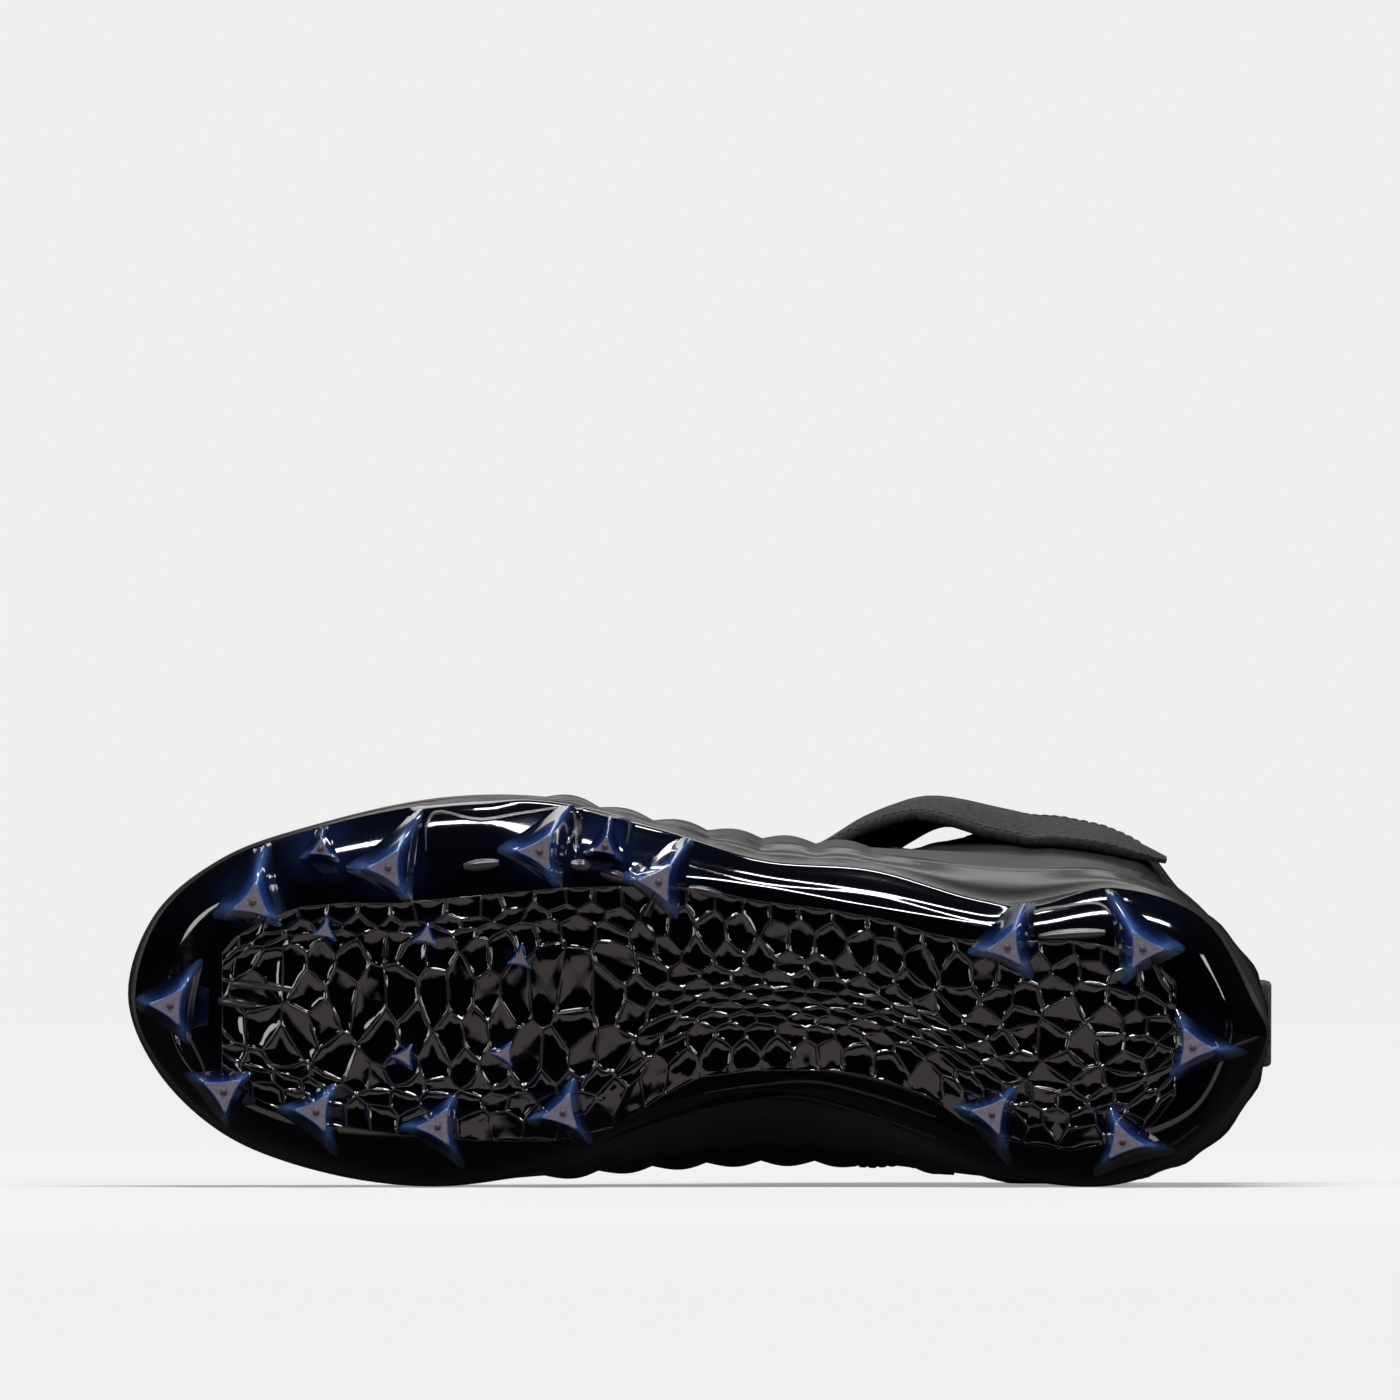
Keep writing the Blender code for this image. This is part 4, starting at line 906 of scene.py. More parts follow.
def stud_ring(reach, ridge, turn):
    """A three-cornered outline with hollow sides; corner 0 is drawn out by ridge."""
    corners = []
    for n in range(3):
        far = reach * (ridge if n == 0 else 1.0)
        angle = math.radians(turn + 120 * n)
        corners.append(Vector((far * math.cos(angle), far * math.sin(angle))))
    sides = []
    for n in range(3):
        a, b = corners[n], corners[(n + 1) % 3]
        hollow = (a + b) * 0.5 * HOLLOW
        side = []
        for step in range(SIDE_STEPS):
            t = CORNER_ROUND + (1 - 2 * CORNER_ROUND) * step / (SIDE_STEPS - 1)
            side.append(a * (1 - t) ** 2 + hollow * (2 * t * (1 - t)) + b * t * t)
        sides.append(side)
    made = []
    for n in range(3):
        made += sides[n]
        end, start, tip = sides[n][-1], sides[(n + 1) % 3][0], corners[(n + 1) % 3]
        for t in CORNER_STEPS:
            made.append(end * (1 - t) ** 2 + tip * (2 * t * (1 - t)) + start * t * t)
    return made


stud_points, stud_faces, stud_slots, stud_up, stud_painted_corner_glow = [], [], [], [], []
PIN_PLACES = []


def add_stud(spec, tip, height):
    at, across, turn, ridge = spec
    middle = Vector((at * LENGTH, across * local_width(at)))
    spring = floor_up(middle.x) - STUD_HEIGHT if at > BALL_AT else 0.0
    tip_up = spring + STUD_HEIGHT - height
    root_up = under_plate(middle.x, middle.y) or floor_up(middle.x)
    first = len(stud_points)
    stack = ((-0.04, 0.84), (0.0, 0.90), (0.05, 0.94), (0.20, 0.97), (0.36, 1.04), (0.52, 1.13),
             (0.66, 1.25), (0.78, 1.40), (0.88, 1.60), (0.95, 1.82), (1.0, 2.05))
    for level, (share, wide) in enumerate(stack):
        pull = 1 + (ridge - 1) * 1.25 * max(0.0, share) ** 1.6
        for n, spot in enumerate(stud_ring(tip * wide, pull, turn)):
            x, y = middle.x + spot.x, middle.y + spot.y
            local = under_plate(x, y)
            while local is None:
                spot = spot * 0.92
                x, y = middle.x + spot.x, middle.y + spot.y
                local = under_plate(x, y)
            sink = 0.0006 if share >= 1 else 0.0
            bottom = root_up + (local - root_up) * max(0.0, share)
            z = tip_up + (bottom - tip_up) * max(0.0, share) + sink
            if level == 0:
                z = tip_up
            elif level == 1:
                z = tip_up + 0.0003
            stud_points.append(Vector((x, y, z)))
            stud_up.append(1 - max(0.0, share))
            in_side = n % SIDE_POINTS
            near = 1.0 if in_side >= SIDE_STEPS else abs(2 * in_side / (SIDE_STEPS - 1) - 1)
            # Painted glow at the corners, strongest near the tip
            stud_painted_corner_glow.append(0.8 * near ** 4 * (1 - max(0.0, share)) ** 0.5)
    for level in range(len(stack) - 1):
        low, high = first + level * RING_POINTS, first + (level + 1) * RING_POINTS
        for n in range(RING_POINTS):
            m = (n + 1) % RING_POINTS
            stud_faces.append((low + n, low + m, high + m, high + n))
            stud_slots.append(0)
    stud_points.append(Vector((middle.x, middle.y, tip_up)))
    stud_up.append(1.0)
    stud_painted_corner_glow.append(0.0)
    for n in range(RING_POINTS):
        stud_faces.append((first + n, first + (n + 1) % RING_POINTS, len(stud_points) - 1))
        stud_slots.append(1)
    if height > NUB_HEIGHT:
        PIN_PLACES.append(Vector((middle.x, middle.y, tip_up)))


for spec in MAIN_STUDS:
    add_stud(spec, STUD_TIP, STUD_HEIGHT)
for spec in EDGE_FINS:
    add_stud(spec, STUD_TIP * 0.55, FIN_HEIGHT)
for spec in INNER_NUBS:
    add_stud(spec, STUD_TIP * 0.5, NUB_HEIGHT)
plate_studs = build("plate_studs", stud_points, stud_faces, [CLEAR_BLUE, TIP_GREY], stud_slots)
attribute(plate_studs, "up", stud_up)
attribute(plate_studs, "edge", stud_painted_corner_glow)
tidy_mesh(plate_studs, angle=38)
hand_over(plate_studs, "plate")

# %% [markdown]
# ## Pin marks
# Each tip shows a small round mark where a pin of the mould touched it. The marks are the
# same low disc on every tip, so a node tree sets one on each tip's centre.

# %% Tree helpers
def start_tree(name, *inputs):
    """A tree with the named inputs, its entry node and the keys of those inputs."""
    tree = bpy.data.node_groups.new(name, "GeometryNodeTree")
    face = tree.interface
    face.new_socket("Geometry", in_out="INPUT", socket_type="NodeSocketGeometry")
    kinds = {label: "NodeSocketFloat" for label in inputs}
    kinds["Material"] = "NodeSocketMaterial"
    keys = [face.new_socket(label, in_out="INPUT", socket_type=kind).identifier
            for label, kind in kinds.items()]
    face.new_socket("Geometry", in_out="OUTPUT", socket_type="NodeSocketGeometry")
    return tree, add(tree, "NodeGroupInput"), keys


def outward_of(tree):
    """The direction that each loose point carries."""
    kept = add(tree, "GeometryNodeInputNamedAttribute", {"data_type": "FLOAT_VECTOR"},
               {"Name": "outward"})
    return kept.outputs["Attribute"]


def end_tree(tree, entry, points, shape, heading, **more):
    """Sets copies of a shape on points along a heading, and paints them."""
    aimed = add(tree, "FunctionNodeAlignRotationToVector", {"axis": "Z"}, {"Vector": heading})
    placed = add(tree, "GeometryNodeInstanceOnPoints", None,
                 {"Points": points, "Instance": shape, "Rotation": aimed.outputs["Rotation"],
                  **more})
    real = add(tree, "GeometryNodeRealizeInstances", None,
               {"Geometry": placed.outputs["Instances"]})
    dyed = add(tree, "GeometryNodeSetMaterial", None,
               {"Geometry": real.outputs["Geometry"], "Material": entry.outputs["Material"]})
    add(tree, "NodeGroupOutput", None, {"Geometry": dyed.outputs["Geometry"]})


def run_tree(name, tree, points, edges, values):
    """Runs a tree on loose points or lines and keeps the result as a plain mesh."""
    mesh = bpy.data.meshes.new(name + "_lines")
    mesh.from_pydata([PLACE @ p for p in points], edges, [])
    holder = bpy.data.objects.new(name + "_lines", mesh)
    bpy.context.scene.collection.objects.link(holder)
    if "outs" in values:
        data = mesh.attributes.new("outward", "FLOAT_VECTOR", "POINT")
        turned = [TURN @ v for v in values.pop("outs")]
        data.data.foreach_set("vector", np.array(turned, np.float32).ravel())
    modifier = holder.modifiers.new("tree", "NODES")
    modifier.node_group = tree
    for socket, value in values.items():
        modifier[socket] = value
    shape = holder.evaluated_get(bpy.context.evaluated_depsgraph_get())
    made_mesh = bpy.data.meshes.new_from_object(shape)
    made_mesh.name = name
    made = bpy.data.objects.new(name, made_mesh)
    bpy.context.scene.collection.objects.link(made)
    bpy.data.objects.remove(holder, do_unlink=True)
    made.data.shade_smooth()
    return made


# %% Disc tree
PIN_RADIUS, PIN_RAISED = 0.0009, 0.0003
disc_tree, entry, (radius_key, height_key, paint_key) = start_tree(
    "discs on points", "Disc radius", "Disc height")
puck = add(disc_tree, "GeometryNodeMeshCylinder", None,
           {"Vertices": 12, "Radius": entry.outputs["Disc radius"],
            "Depth": entry.outputs["Disc height"]})
end_tree(disc_tree, entry, entry.outputs["Geometry"], puck.outputs["Mesh"],
         outward_of(disc_tree))
pin_marks = run_tree("pin_marks", disc_tree, PIN_PLACES, [],
                     {"outs": [Vector((0, 0, -1))] * len(PIN_PLACES),
                      radius_key: PIN_RADIUS, height_key: PIN_RAISED, paint_key: PIN_GREY})
hand_over(pin_marks, "plate")

# %% [markdown]
# ## Ribs, bars and edge lines of the plate
# Thin moulded lines run where the plate changes direction: along the raised blocks of the
# outer forefoot, from the heel studs to the rim, and as short bars between the studs. Each
# is a low rounded ridge that follows the plate's surface along a few listed points.


# %% Moulded lines, in pixels of the photo
def from_photo(*pairs):
    """Places read off the photo, in its pixels, as places along and across the shoe."""
    return [((HEEL_COLUMN - a) / PIXELS_PER_MM / MM, (FLOOR_ROW - b) / PIXELS_PER_MM / MM - AXIS_UP)
            for a, b in pairs]


EDGE_LINES = (
    from_photo((421, 852), (422, 826), (430, 814), (475, 821), (520, 814), (566, 811),
               (570, 830), (557, 852)),
    from_photo((583, 812), (605, 818), (624, 822), (622, 845)),
    from_photo((1018, 930), (1025, 914), (1060, 906), (1096, 904), (1112, 922), (1126, 945)),
    from_photo((1208, 1052), (1232, 1044), (1254, 1036)),
    from_photo((1146, 1158), (1170, 1142), (1194, 1125)),
    from_photo((150, 1012), (178, 1032), (196, 1062), (208, 1098)),
    from_photo((700, 1094), (754, 1086), (808, 1082), (870, 1096), (932, 1117)),
    from_photo((700, 1111), (747, 1102), (794, 1098), (863, 1115), (932, 1138)),
)
BARS = (
    from_photo((222, 985), (258, 988), (294, 993)),
    from_photo((214, 1003), (232, 1005), (252, 1008)),
    from_photo((459, 868), (476, 866), (494, 864)),
    from_photo((566, 865), (576, 866), (586, 867)),
    from_photo((596, 873), (610, 877), (626, 882)),
    from_photo((684, 889), (702, 893), (720, 898)),
    from_photo((1034, 937), (1066, 934), (1100, 932)),
)
# Half a width across and a share of the height, from one foot of a ridge to the other
RIDGE_PROFILE = ((-1.0, -0.5), (-0.8, 0.35), (-0.4, 0.9), (0.0, 1.0), (0.4, 0.9), (0.8, 0.35),
                 (1.0, -0.5))
LINE_WIDE, LINE_TALL = 0.0010, 0.0006
BAR_WIDE, BAR_TALL = 0.0034, 0.0020


def ridge_grid(route, wide, tall, points, faces):
    """A low rounded ridge along a route on the plate."""
    dense = curve_through([Vector(p) for p in route], 5)
    first = len(points)
    for n, spot in enumerate(dense):
        ahead = dense[min(n + 1, len(dense) - 1)] - dense[max(n - 1, 0)]
        side = Vector((-ahead.y, ahead.x)).normalized()
        taper = math.sin(math.pi * (0.08 + 0.84 * n / (len(dense) - 1))) ** 0.5
        for across, up in RIDGE_PROFILE:
            p = spot + side * (across * wide / 2 * taper)
            while under_plate(p.x, p.y) is None:
                p = Vector((p.x + (0.148 - p.x) * 0.004, p.y * 0.99))
            points.append(Vector((p.x, p.y, under_plate(p.x, p.y) - up * tall * taper)))
    size = len(RIDGE_PROFILE)
    for n in range(len(dense) - 1):
        strip(faces, first + n * size, first + (n + 1) * size, size)
    faces.append(tuple(first + c for c in range(size)))
    last = first + (len(dense) - 1) * size
    faces.append(tuple(last + c for c in range(size - 1, -1, -1)))


points, faces = [], []
for route in EDGE_LINES:
    ridge_grid(route, LINE_WIDE, LINE_TALL, points, faces)
for route in BARS:
    ridge_grid(route, BAR_WIDE, BAR_TALL, points, faces)
plate_lines = build("plate_lines", points, faces, [LINE_PAINTED_HIGHLIGHT])
tidy_mesh(plate_lines, angle=60)
hand_over(plate_lines, "plate")

# %% [markdown]
# ## Upper
# The upper is one sheet drawn over the last: it turns in under the foot, rises past a foil
# band above the plate, swells into padded ribs along both sides, and ends in the facings of
# the throat and the knitted collar. Walking has left soft creases across the vamp. The sheet
# gets its wall from a Solidify modifier, whose inner side takes the lining's cloth.

# %% Upper sheet
RAND_STEP, RAND_RISE, PINCH_DEPTH, RIB_RAISE = 0.0007, 0.0065, 0.003, 0.0017
LASTING_MARGIN = 0.008
COLLAR_PAD = 0.0062       # padding of the outer side's collar, under the strap
KNIT_FRONT = 6.2          # table row at which the knit ends
# Creases: place along at the top, slant, share from and to, depth, width
CREASES = (
    (0.214, 0.10, 0.25, 0.98, 0.0009, 0.0028), (0.222, 0.16, 0.30, 0.95, 0.0007, 0.0024),
    (0.206, 0.05, 0.35, 0.95, 0.0006, 0.0022), (0.231, 0.20, 0.35, 0.85, 0.0005, 0.0026),
    (0.098, -0.25, 0.20, 0.60, 0.0008, 0.0034), (0.106, -0.20, 0.15, 0.55, 0.0006, 0.0030),
    (0.060, 0.10, 0.25, 0.65, 0.0005, 0.0040),
)


def crease_depth(point, share):
    drop = 0.0
    for along, slant, low, high, depth, wide in CREASES:
        away = (point.x - along - slant * (1 - share) * 0.03) / wide
        if abs(away) < 3:
            shape = math.exp(-away * away) - 0.45 * math.exp(-((abs(away) - 1.5) / 0.6) ** 2)
            drop += depth * shape * band_share(share, low, high, 0.15)
    return drop


def side_point(k, share):
    """The upper between its widest line (0) and its top edge (1), without finish."""
    flank, top = RING["flank"][k], RING["top"][k]
    power = 2.0 / FULL[k]
    across = 1 - math.cos(share * math.pi / 2) ** power if share < 1 else 1.0
    rise = math.sin(share * math.pi / 2) ** power if share > 0 else 0.0
    point = Vector((flank.x + (top.x - flank.x) * across, flank.y + (top.y - flank.y) * across,
                    flank.z + (top.z - flank.z) * rise))
    waist = PINCH[k] * PINCH_DEPTH * math.sin(math.pi * rise)
    swell = RIB[k] * RIB_RAISE * math.sin(math.pi * min(1, max(0, share + 0.3) / 0.95))
    return point + INWARD[k] * (waist - max(0.0, swell))


def quilt(k, share):
    """Small padded lozenges on the outer side of the heel."""
    x = RING["flank"][k].x
    zone = band_share(x, -0.01, 0.032, 0.008) * band_share(share, -0.1, 0.42, 0.08)
    turn = k * 0.55
    return 0.0008 * zone * abs(math.sin(turn + share * 16) * math.sin(turn - share * 16))


def dressed_side(k, share):
    point = side_point(k, share)
    edge = (side_point(k, 1.0) - point).length
    facing = 0.0
    if ROW_AT[k] > COLLAR_FRONT + 0.7:
        facing = 0.0006 * ease((0.0175 - edge) / 0.0016)
    collar = 0.0
    if ROW_AT[k] <= COLLAR_FRONT + 0.3:
        collar = 0.0010 * math.exp(-((edge - 0.007) / 0.004) ** 2)
    if k < TOE:
        collar += COLLAR_PAD * band_share(point.x, 0.036, 0.122, 0.014) * ease((share - 0.15) / 0.4)
    out = facing + collar + quilt(k, share) - crease_depth(point, share)
    return point - INWARD[k] * out * 0.9 + Vector((0, 0, max(0.0, facing) * 0.5))


SIDE_LEVELS = [n / 38 for n in range(39)]


def middle_of(k):
    low = RING["floor"][0].x + HEEL_WIDTH * 0.45
    high = RING["floor"][TOE].x - BALL_WIDTH * 0.45
    across = (RING["floor"][k].y + RING["floor"][mate(k)].y) / 2
    return Vector((min(high, max(low, RING["floor"][k].x)), across, 0))


def upper_column(k):
    """Points and zone values of the upper at one sample, from the margin to the top."""
    inner = inner_wall(k, GAP)
    rim, flank = RING["rim"][k], side_point(k, 0.0)
    turned = middle_of(k) - inner[0]
    turned.z = 0
    margin = inner[0] + turned.normalized() * LASTING_MARGIN
    margin.z = floor_up(margin.x) + PLATE_FLOOR + GAP
    rise = flank.z - rim.z
    low, high = rim.lerp(flank, 0.20), rim.lerp(flank, 0.70)
    low.z = rim.z + rise * 0.10 + GAP
    high.z = rim.z + min(RAND_RISE, rise * 0.5)
    band = [low - INWARD[k] * RAND_STEP * 0.5]
    for n in range(1, 6):
        band.append(low.lerp(high, n / 5) - INWARD[k] * (RAND_STEP * (0.8 + 0.2 * math.sin(n))))
    made = [margin, inner[0], inner[1], inner[2], inner[3] + Vector((0, 0, GAP * 1.5))] + band
    made.append(high + Vector((0, 0, RAND_STEP)))
    zones = [0.0] * 4 + [1.0] * 7 + [0.15]
    for share in SIDE_LEVELS:
        made.append(dressed_side(k, share))
        zones.append(0.0)
    return made, zones


columns = [upper_column(k) for k in range(COUNT)]
levels = len(columns[0][0])
lower = levels - len(SIDE_LEVELS)
points, faces, rand, knit, weave = [], [], [], [], []
for level in range(levels):
    for k in range(COUNT):
        point = columns[k][0][level]
        points.append(point)
        rand.append(columns[k][1][level])
        height = max(0, level - lower) / (len(SIDE_LEVELS) - 1)
        start = 0.30 + 0.10 * abs(ROW_AT[k] - 2.5)
        knit.append(ease((height - start) / 0.02) if ROW_AT[k] < KNIT_FRONT else 0.0)
        weave.append((k * 0.00165, point.z, 0.0))
for level in range(levels - 1):
    strip(faces, level * COUNT, (level + 1) * COUNT, COUNT)
faces = [face[::-1] for face in faces]
upper_shell = build("upper_shell", points, faces, [UPPER_SKIN, LINING])
attribute(upper_shell, "rand", rand)
attribute(upper_shell, "knit", knit)
attribute(upper_shell, "weave", weave, "FLOAT_VECTOR")
upper_shell.data.shade_smooth()
wall = upper_shell.modifiers.new("wall", "SOLIDIFY")
wall.thickness = UPPER_WALL
wall.offset = -1
wall.material_offset = 1
wall.material_offset_rim = 0
UPPER_FACE = BVHTree.FromPolygons([Vector(p) for p in points], faces)
hand_over(upper_shell, "upper", "upper")

# %% [markdown]
# ## Sweeps
# Laces, straps, bindings and loops are all a cross-section drawn along a path. One function
# sweeps a rounded flat section along points that carry their own outward direction, closes
# both ends, and stores how far along and across each point lies, which the weave follows.


# %% Sweep helper
def sweep(name, route, outs, wides, thicks, material, corner=3, closed=False):
    """A rounded flat band along a route, its flat side facing the outward directions."""
    outline = []
    for cx, cy, start in ((1, 1, 0), (-1, 1, 90), (-1, -1, 180), (1, -1, 270)):
        for n in range(corner):
            angle = math.radians(start + 90 * n / max(1, corner - 1))
            outline.append((cx, cy, math.cos(angle), math.sin(angle)))
    points, faces, weave = [], [], []
    size = len(outline)
    travelled = 0.0
    last = len(route) - 1
    for n, spot in enumerate(route):
        if closed:
            ahead = (route[(n + 1) % len(route)] - route[n - 1]).normalized()
        else:
            ahead = (route[min(n + 1, last)] - route[max(n - 1, 0)]).normalized()
        out = (outs[n] - ahead * outs[n].dot(ahead)).normalized()
        side = ahead.cross(out)
        half, thick = wides[n] / 2, thicks[n] / 2
        round_off = min(thick, half) * 0.95
        if n:
            travelled += (spot - route[n - 1]).length
        for cx, cy, c, s in outline:
            across = cx * (half - round_off) + c * round_off
            up = cy * (thick - round_off) + s * round_off
            points.append(spot + side * across + out * up)
            weave.append((across, travelled, 0.0))
    for n in range(len(route) - (0 if closed else 1)):
        strip(faces, n * size, ((n + 1) % len(route)) * size, size)
    if not closed:
        faces.append(tuple(range(size)))
        faces.append(tuple(last * size + c for c in range(size - 1, -1, -1)))
    made = build(name, points, faces, [material])
    attribute(made, "weave", weave, "FLOAT_VECTOR")
    return tidy_mesh(made, angle=70)


def facing_spot(k, inset):
    """A point on the upper's outer face at a distance below its top edge, and outward."""
    top = side_point(k, 1.0)
    low, high = 0.0, 1.0
    for _ in range(16):
        half = (low + high) / 2
        if (side_point(k, half) - top).length > inset:
            low = half
        else:
            high = half
    here = side_point(k, low)
    up = side_point(k, min(1.0, low + 0.03)) - here
    n = (k + 2) % COUNT
    run = side_point(n, low) - side_point(k - 2, low)
    out = run.cross(up).normalized()
    away = here - Vector((here.x, 0, here.z - 0.03))
    return here, (out if out.dot(away) > 0 else -out)


# %% [markdown]
# ## Stitches
# Stitched seams are thousands of short threads at an even pitch, so a node tree makes them:
# it resamples a seam line, sets a small capsule on each point along the line's direction,
# and turns the copies into plain mesh.

# %% Stitch tree
stitch_tree, entry, (pitch_key, thick_key, thread_key) = start_tree(
    "stitches along a line", "Pitch", "Thread")
line = add(stitch_tree, "GeometryNodeMeshToCurve", None, {"Mesh": entry.outputs["Geometry"]})
evened = add(stitch_tree, "GeometryNodeResampleCurve", {"mode": "LENGTH"},
             {"Curve": line.outputs["Curve"], "Length": entry.outputs["Pitch"]})
heading = add(stitch_tree, "GeometryNodeInputTangent")
capsule = add(stitch_tree, "GeometryNodeMeshUVSphere", None,
              {"Segments": 6, "Rings": 4, "Radius": 0.5})
long_side = add(stitch_tree, "ShaderNodeMath", {"operation": "MULTIPLY"},
                {0: entry.outputs["Pitch"], 1: 0.85})
sized = add(stitch_tree, "ShaderNodeCombineXYZ", None,
            {"X": entry.outputs["Thread"], "Y": entry.outputs["Thread"], "Z": long_side.outputs[0]})
end_tree(stitch_tree, entry, evened.outputs["Curve"], capsule.outputs["Mesh"],
         heading.outputs["Tangent"], Scale=sized.outputs["Vector"])


def stitch(name, lines, slot, pitch_mm=2.4, thread_mm=0.55):
    points, edges = [], []
    for route in lines:
        first = len(points)
        points += route
        edges += [(first + n, first + n + 1) for n in range(len(route) - 1)]
    made = run_tree(name, stitch_tree, points, edges,
                    {pitch_key: pitch_mm / MM, thick_key: thread_mm / MM, thread_key: THREAD})
    hand_over(made, slot)


# %% Seams of the upper
def seam_line(first, end, inset, lift=0.0002):
    route = []
    step = 2 if end > first else -2
    for k in range(first, end, step):
        spot, out = facing_spot(k % COUNT, inset)
        hit, normal, _i, _d = UPPER_FACE.find_nearest(spot)
        route.append(hit + normal * lift)
    return route


front = ROW_START[COLLAR_FRONT + 1]
seams = [seam_line(front, COUNT - front, 0.0040), seam_line(front, COUNT - front, 0.0152),
         seam_line(front, COUNT - front, 0.0170),
         seam_line(COUNT - ROW_START[COLLAR_FRONT], COUNT + ROW_START[COLLAR_FRONT], 0.0125)]
stitch("upper_stitches", seams, "upper")

# %% [markdown]
# ## Collar binding
# The cut edge of collar and throat is wrapped in a soft knitted tape, here a thin tube along
# the last's top edge. Where the outer side's pad lifts the cloth, the tube stays behind and
# doesn't cover the cloth's edge.

# %% Binding
BINDING = 0.0030
edge_route, edge_outs = [], []
for k in range(0, COUNT, 2):
    top = side_point(k, 1.0)
    edge_route.append(top + INWARD[k] * (UPPER_WALL * 0.5) - Vector((0, 0, 0.0002)))
    edge_outs.append(-INWARD[k])
collar_binding = sweep("collar_binding", edge_route, edge_outs, [BINDING] * len(edge_route),
                       [BINDING] * len(edge_route), TONGUE_KNIT, closed=True)
hand_over(collar_binding, "upper")

# %% [markdown]
# ## Insole
# The insole is a foam bed with a cloth top. It follows arch and toe spring, and is only seen
# through the collar, so a grid over its outline with a slightly raised edge is enough.

# %% Insole
INSOLE_THICK, SOFT_GAP = 0.0035, 0.0005
lift = PLATE_FLOOR + GAP + UPPER_WALL + SOFT_GAP
inset = PLATE_SIDE * 1.3 + GAP + UPPER_WALL + SOFT_GAP
points, faces = [], []
for level, (up, side) in enumerate(((0.0, 0.0004), (0.5, 0.0), (0.85, 0.0002), (1.0, 0.0012))):
    for k in range(COUNT):
        spot = RING["floor"][k] + INWARD[k] * (inset + side)
        spot.z = floor_up(spot.x) + lift + up * INSOLE_THICK
        points.append(spot)
for level in range(3):
    strip(faces, level * COUNT, (level + 1) * COUNT, COUNT)
fill_ring(points, faces, 0, 2)
fill_ring(points, faces, 3 * COUNT, 12)
insole_bed = build("insole_bed", points, faces, [INSOLE_CLOTH])
attribute(insole_bed, "weave", [(p.x, p.y, 0.0) for p in map(Vector, points)], "FLOAT_VECTOR")
tidy_mesh(insole_bed)
hand_over(insole_bed, "insole", "insole")

# %% [markdown]
# ## Tongue
# The tongue is a padded knit sheet under the facings. Its surface comes from both facings at
# each place along the throat, with a low crown between them, and above the collar it narrows
# to a rounded end. Two shallow channels run down its pad.

# %% Tongue
TONGUE_THICK, TONGUE_LAP, TONGUE_CROWN, TONGUE_ABOVE = 0.0025, 0.009, 0.0012, 0.010
TONGUE_NECK = 0.72
rows = []
for k in range(ROW_START[COLLAR_FRONT], TOE + 1, 4):
    ends = []
    for sample in (k, mate(k)):
        edge = []
        for inset_here in (TONGUE_LAP, TONGUE_LAP * 0.5, 0.0005):
            spot, out = facing_spot(sample, max(inset_here, 0.0005))
            edge.append(spot - out * (UPPER_WALL + SOFT_GAP))
        ends.append(edge)
    near, far = ends
    bow = min(1.0, (near[2] - far[2]).length / (TONGUE_LAP * 2))
    middle = []
    for n in range(1, 12):
        share = n / 12
        pad = 0.0007 * bow * abs(math.sin(math.pi * share * 3)) ** 0.6
        lift_here = (TONGUE_CROWN * math.sin(math.pi * share) + pad) * min(1.0, bow)
        middle.append(near[2].lerp(far[2], share) + Vector((0, 0, lift_here)))
    rows.append(near + middle + far[::-1])
rise = Vector((-0.35, 0, 0.94)) * TONGUE_ABOVE
centre = sum(rows[0], Vector()) / len(rows[0])
top_row = rows[0]
for share in (0.5, 1.0):
    neck = 1 - (1 - TONGUE_NECK) * share
    rows.insert(0, [centre + (p - centre) * neck + rise * share for p in top_row])
wide = len(rows[0])
points = [p for row in rows for p in row]
faces = []
for row in range(len(rows) - 1):
    strip(faces, row * wide, (row + 1) * wide, wide, closed=False)
tongue_pad = build("tongue_pad", points, faces, [TONGUE_KNIT])
attribute(tongue_pad, "weave", [(p.y, p.x, 0.0) for p in points], "FLOAT_VECTOR")
tongue_pad.data.shade_smooth()
wall = tongue_pad.modifiers.new("pad", "SOLIDIFY")
wall.thickness = TONGUE_THICK
wall.offset = -1
hand_over(tongue_pad, "tongue", "tongue")

# %% [markdown]
# ## Eyelets
# Five pairs of punched holes are ringed with small lacquered eyelets. A node tree sets one
# ring on each place, turned to the direction in which the facing looks there. The sheet below
# stays whole, and the lace passes through it inside each ring.

# %% Eyelet tree
ring_tree, entry, (ring_key, wire_key, metal_key) = start_tree(
    "rings on points", "Ring radius", "Wire radius")
big = add(ring_tree, "GeometryNodeCurvePrimitiveCircle", None,
          {"Resolution": 20, "Radius": entry.outputs["Ring radius"]})
small = add(ring_tree, "GeometryNodeCurvePrimitiveCircle", None,
            {"Resolution": 8, "Radius": entry.outputs["Wire radius"]})
torus = add(ring_tree, "GeometryNodeCurveToMesh", None,
            {"Curve": big.outputs["Curve"], "Profile Curve": small.outputs["Curve"]})
end_tree(ring_tree, entry, entry.outputs["Geometry"], torus.outputs["Mesh"],
         outward_of(ring_tree))

# %% Eyelet rings
EYELET_PAIRS, EYELET_HOLE, EYELET_INSET, EYELET_WIRE = 5, 0.0042, 0.0085, 0.0007
first = ROW_START[COLLAR_FRONT + 1]
end = ROW_START[len(ROWS) - 3]
span = RING["top"][end].x - RING["top"][first].x
eyelet_samples = []
for n in range(EYELET_PAIRS):
    goal = RING["top"][first].x + span * n / (EYELET_PAIRS - 1)
    coarse = range(first, end + 1, FINE)
    eyelet_samples.append(min(coarse, key=lambda k: abs(RING["top"][k].x - goal)))
HOLES = []
for k in eyelet_samples:
    HOLES.append([facing_spot(k, EYELET_INSET), facing_spot(mate(k), EYELET_INSET)])
ring_points, ring_outs = [], []
for pair in HOLES:
    for spot, out in pair:
        hit, normal, _i, _d = UPPER_FACE.find_nearest(spot)
        ring_points.append(hit + normal * 0.0002)
        ring_outs.append(normal)
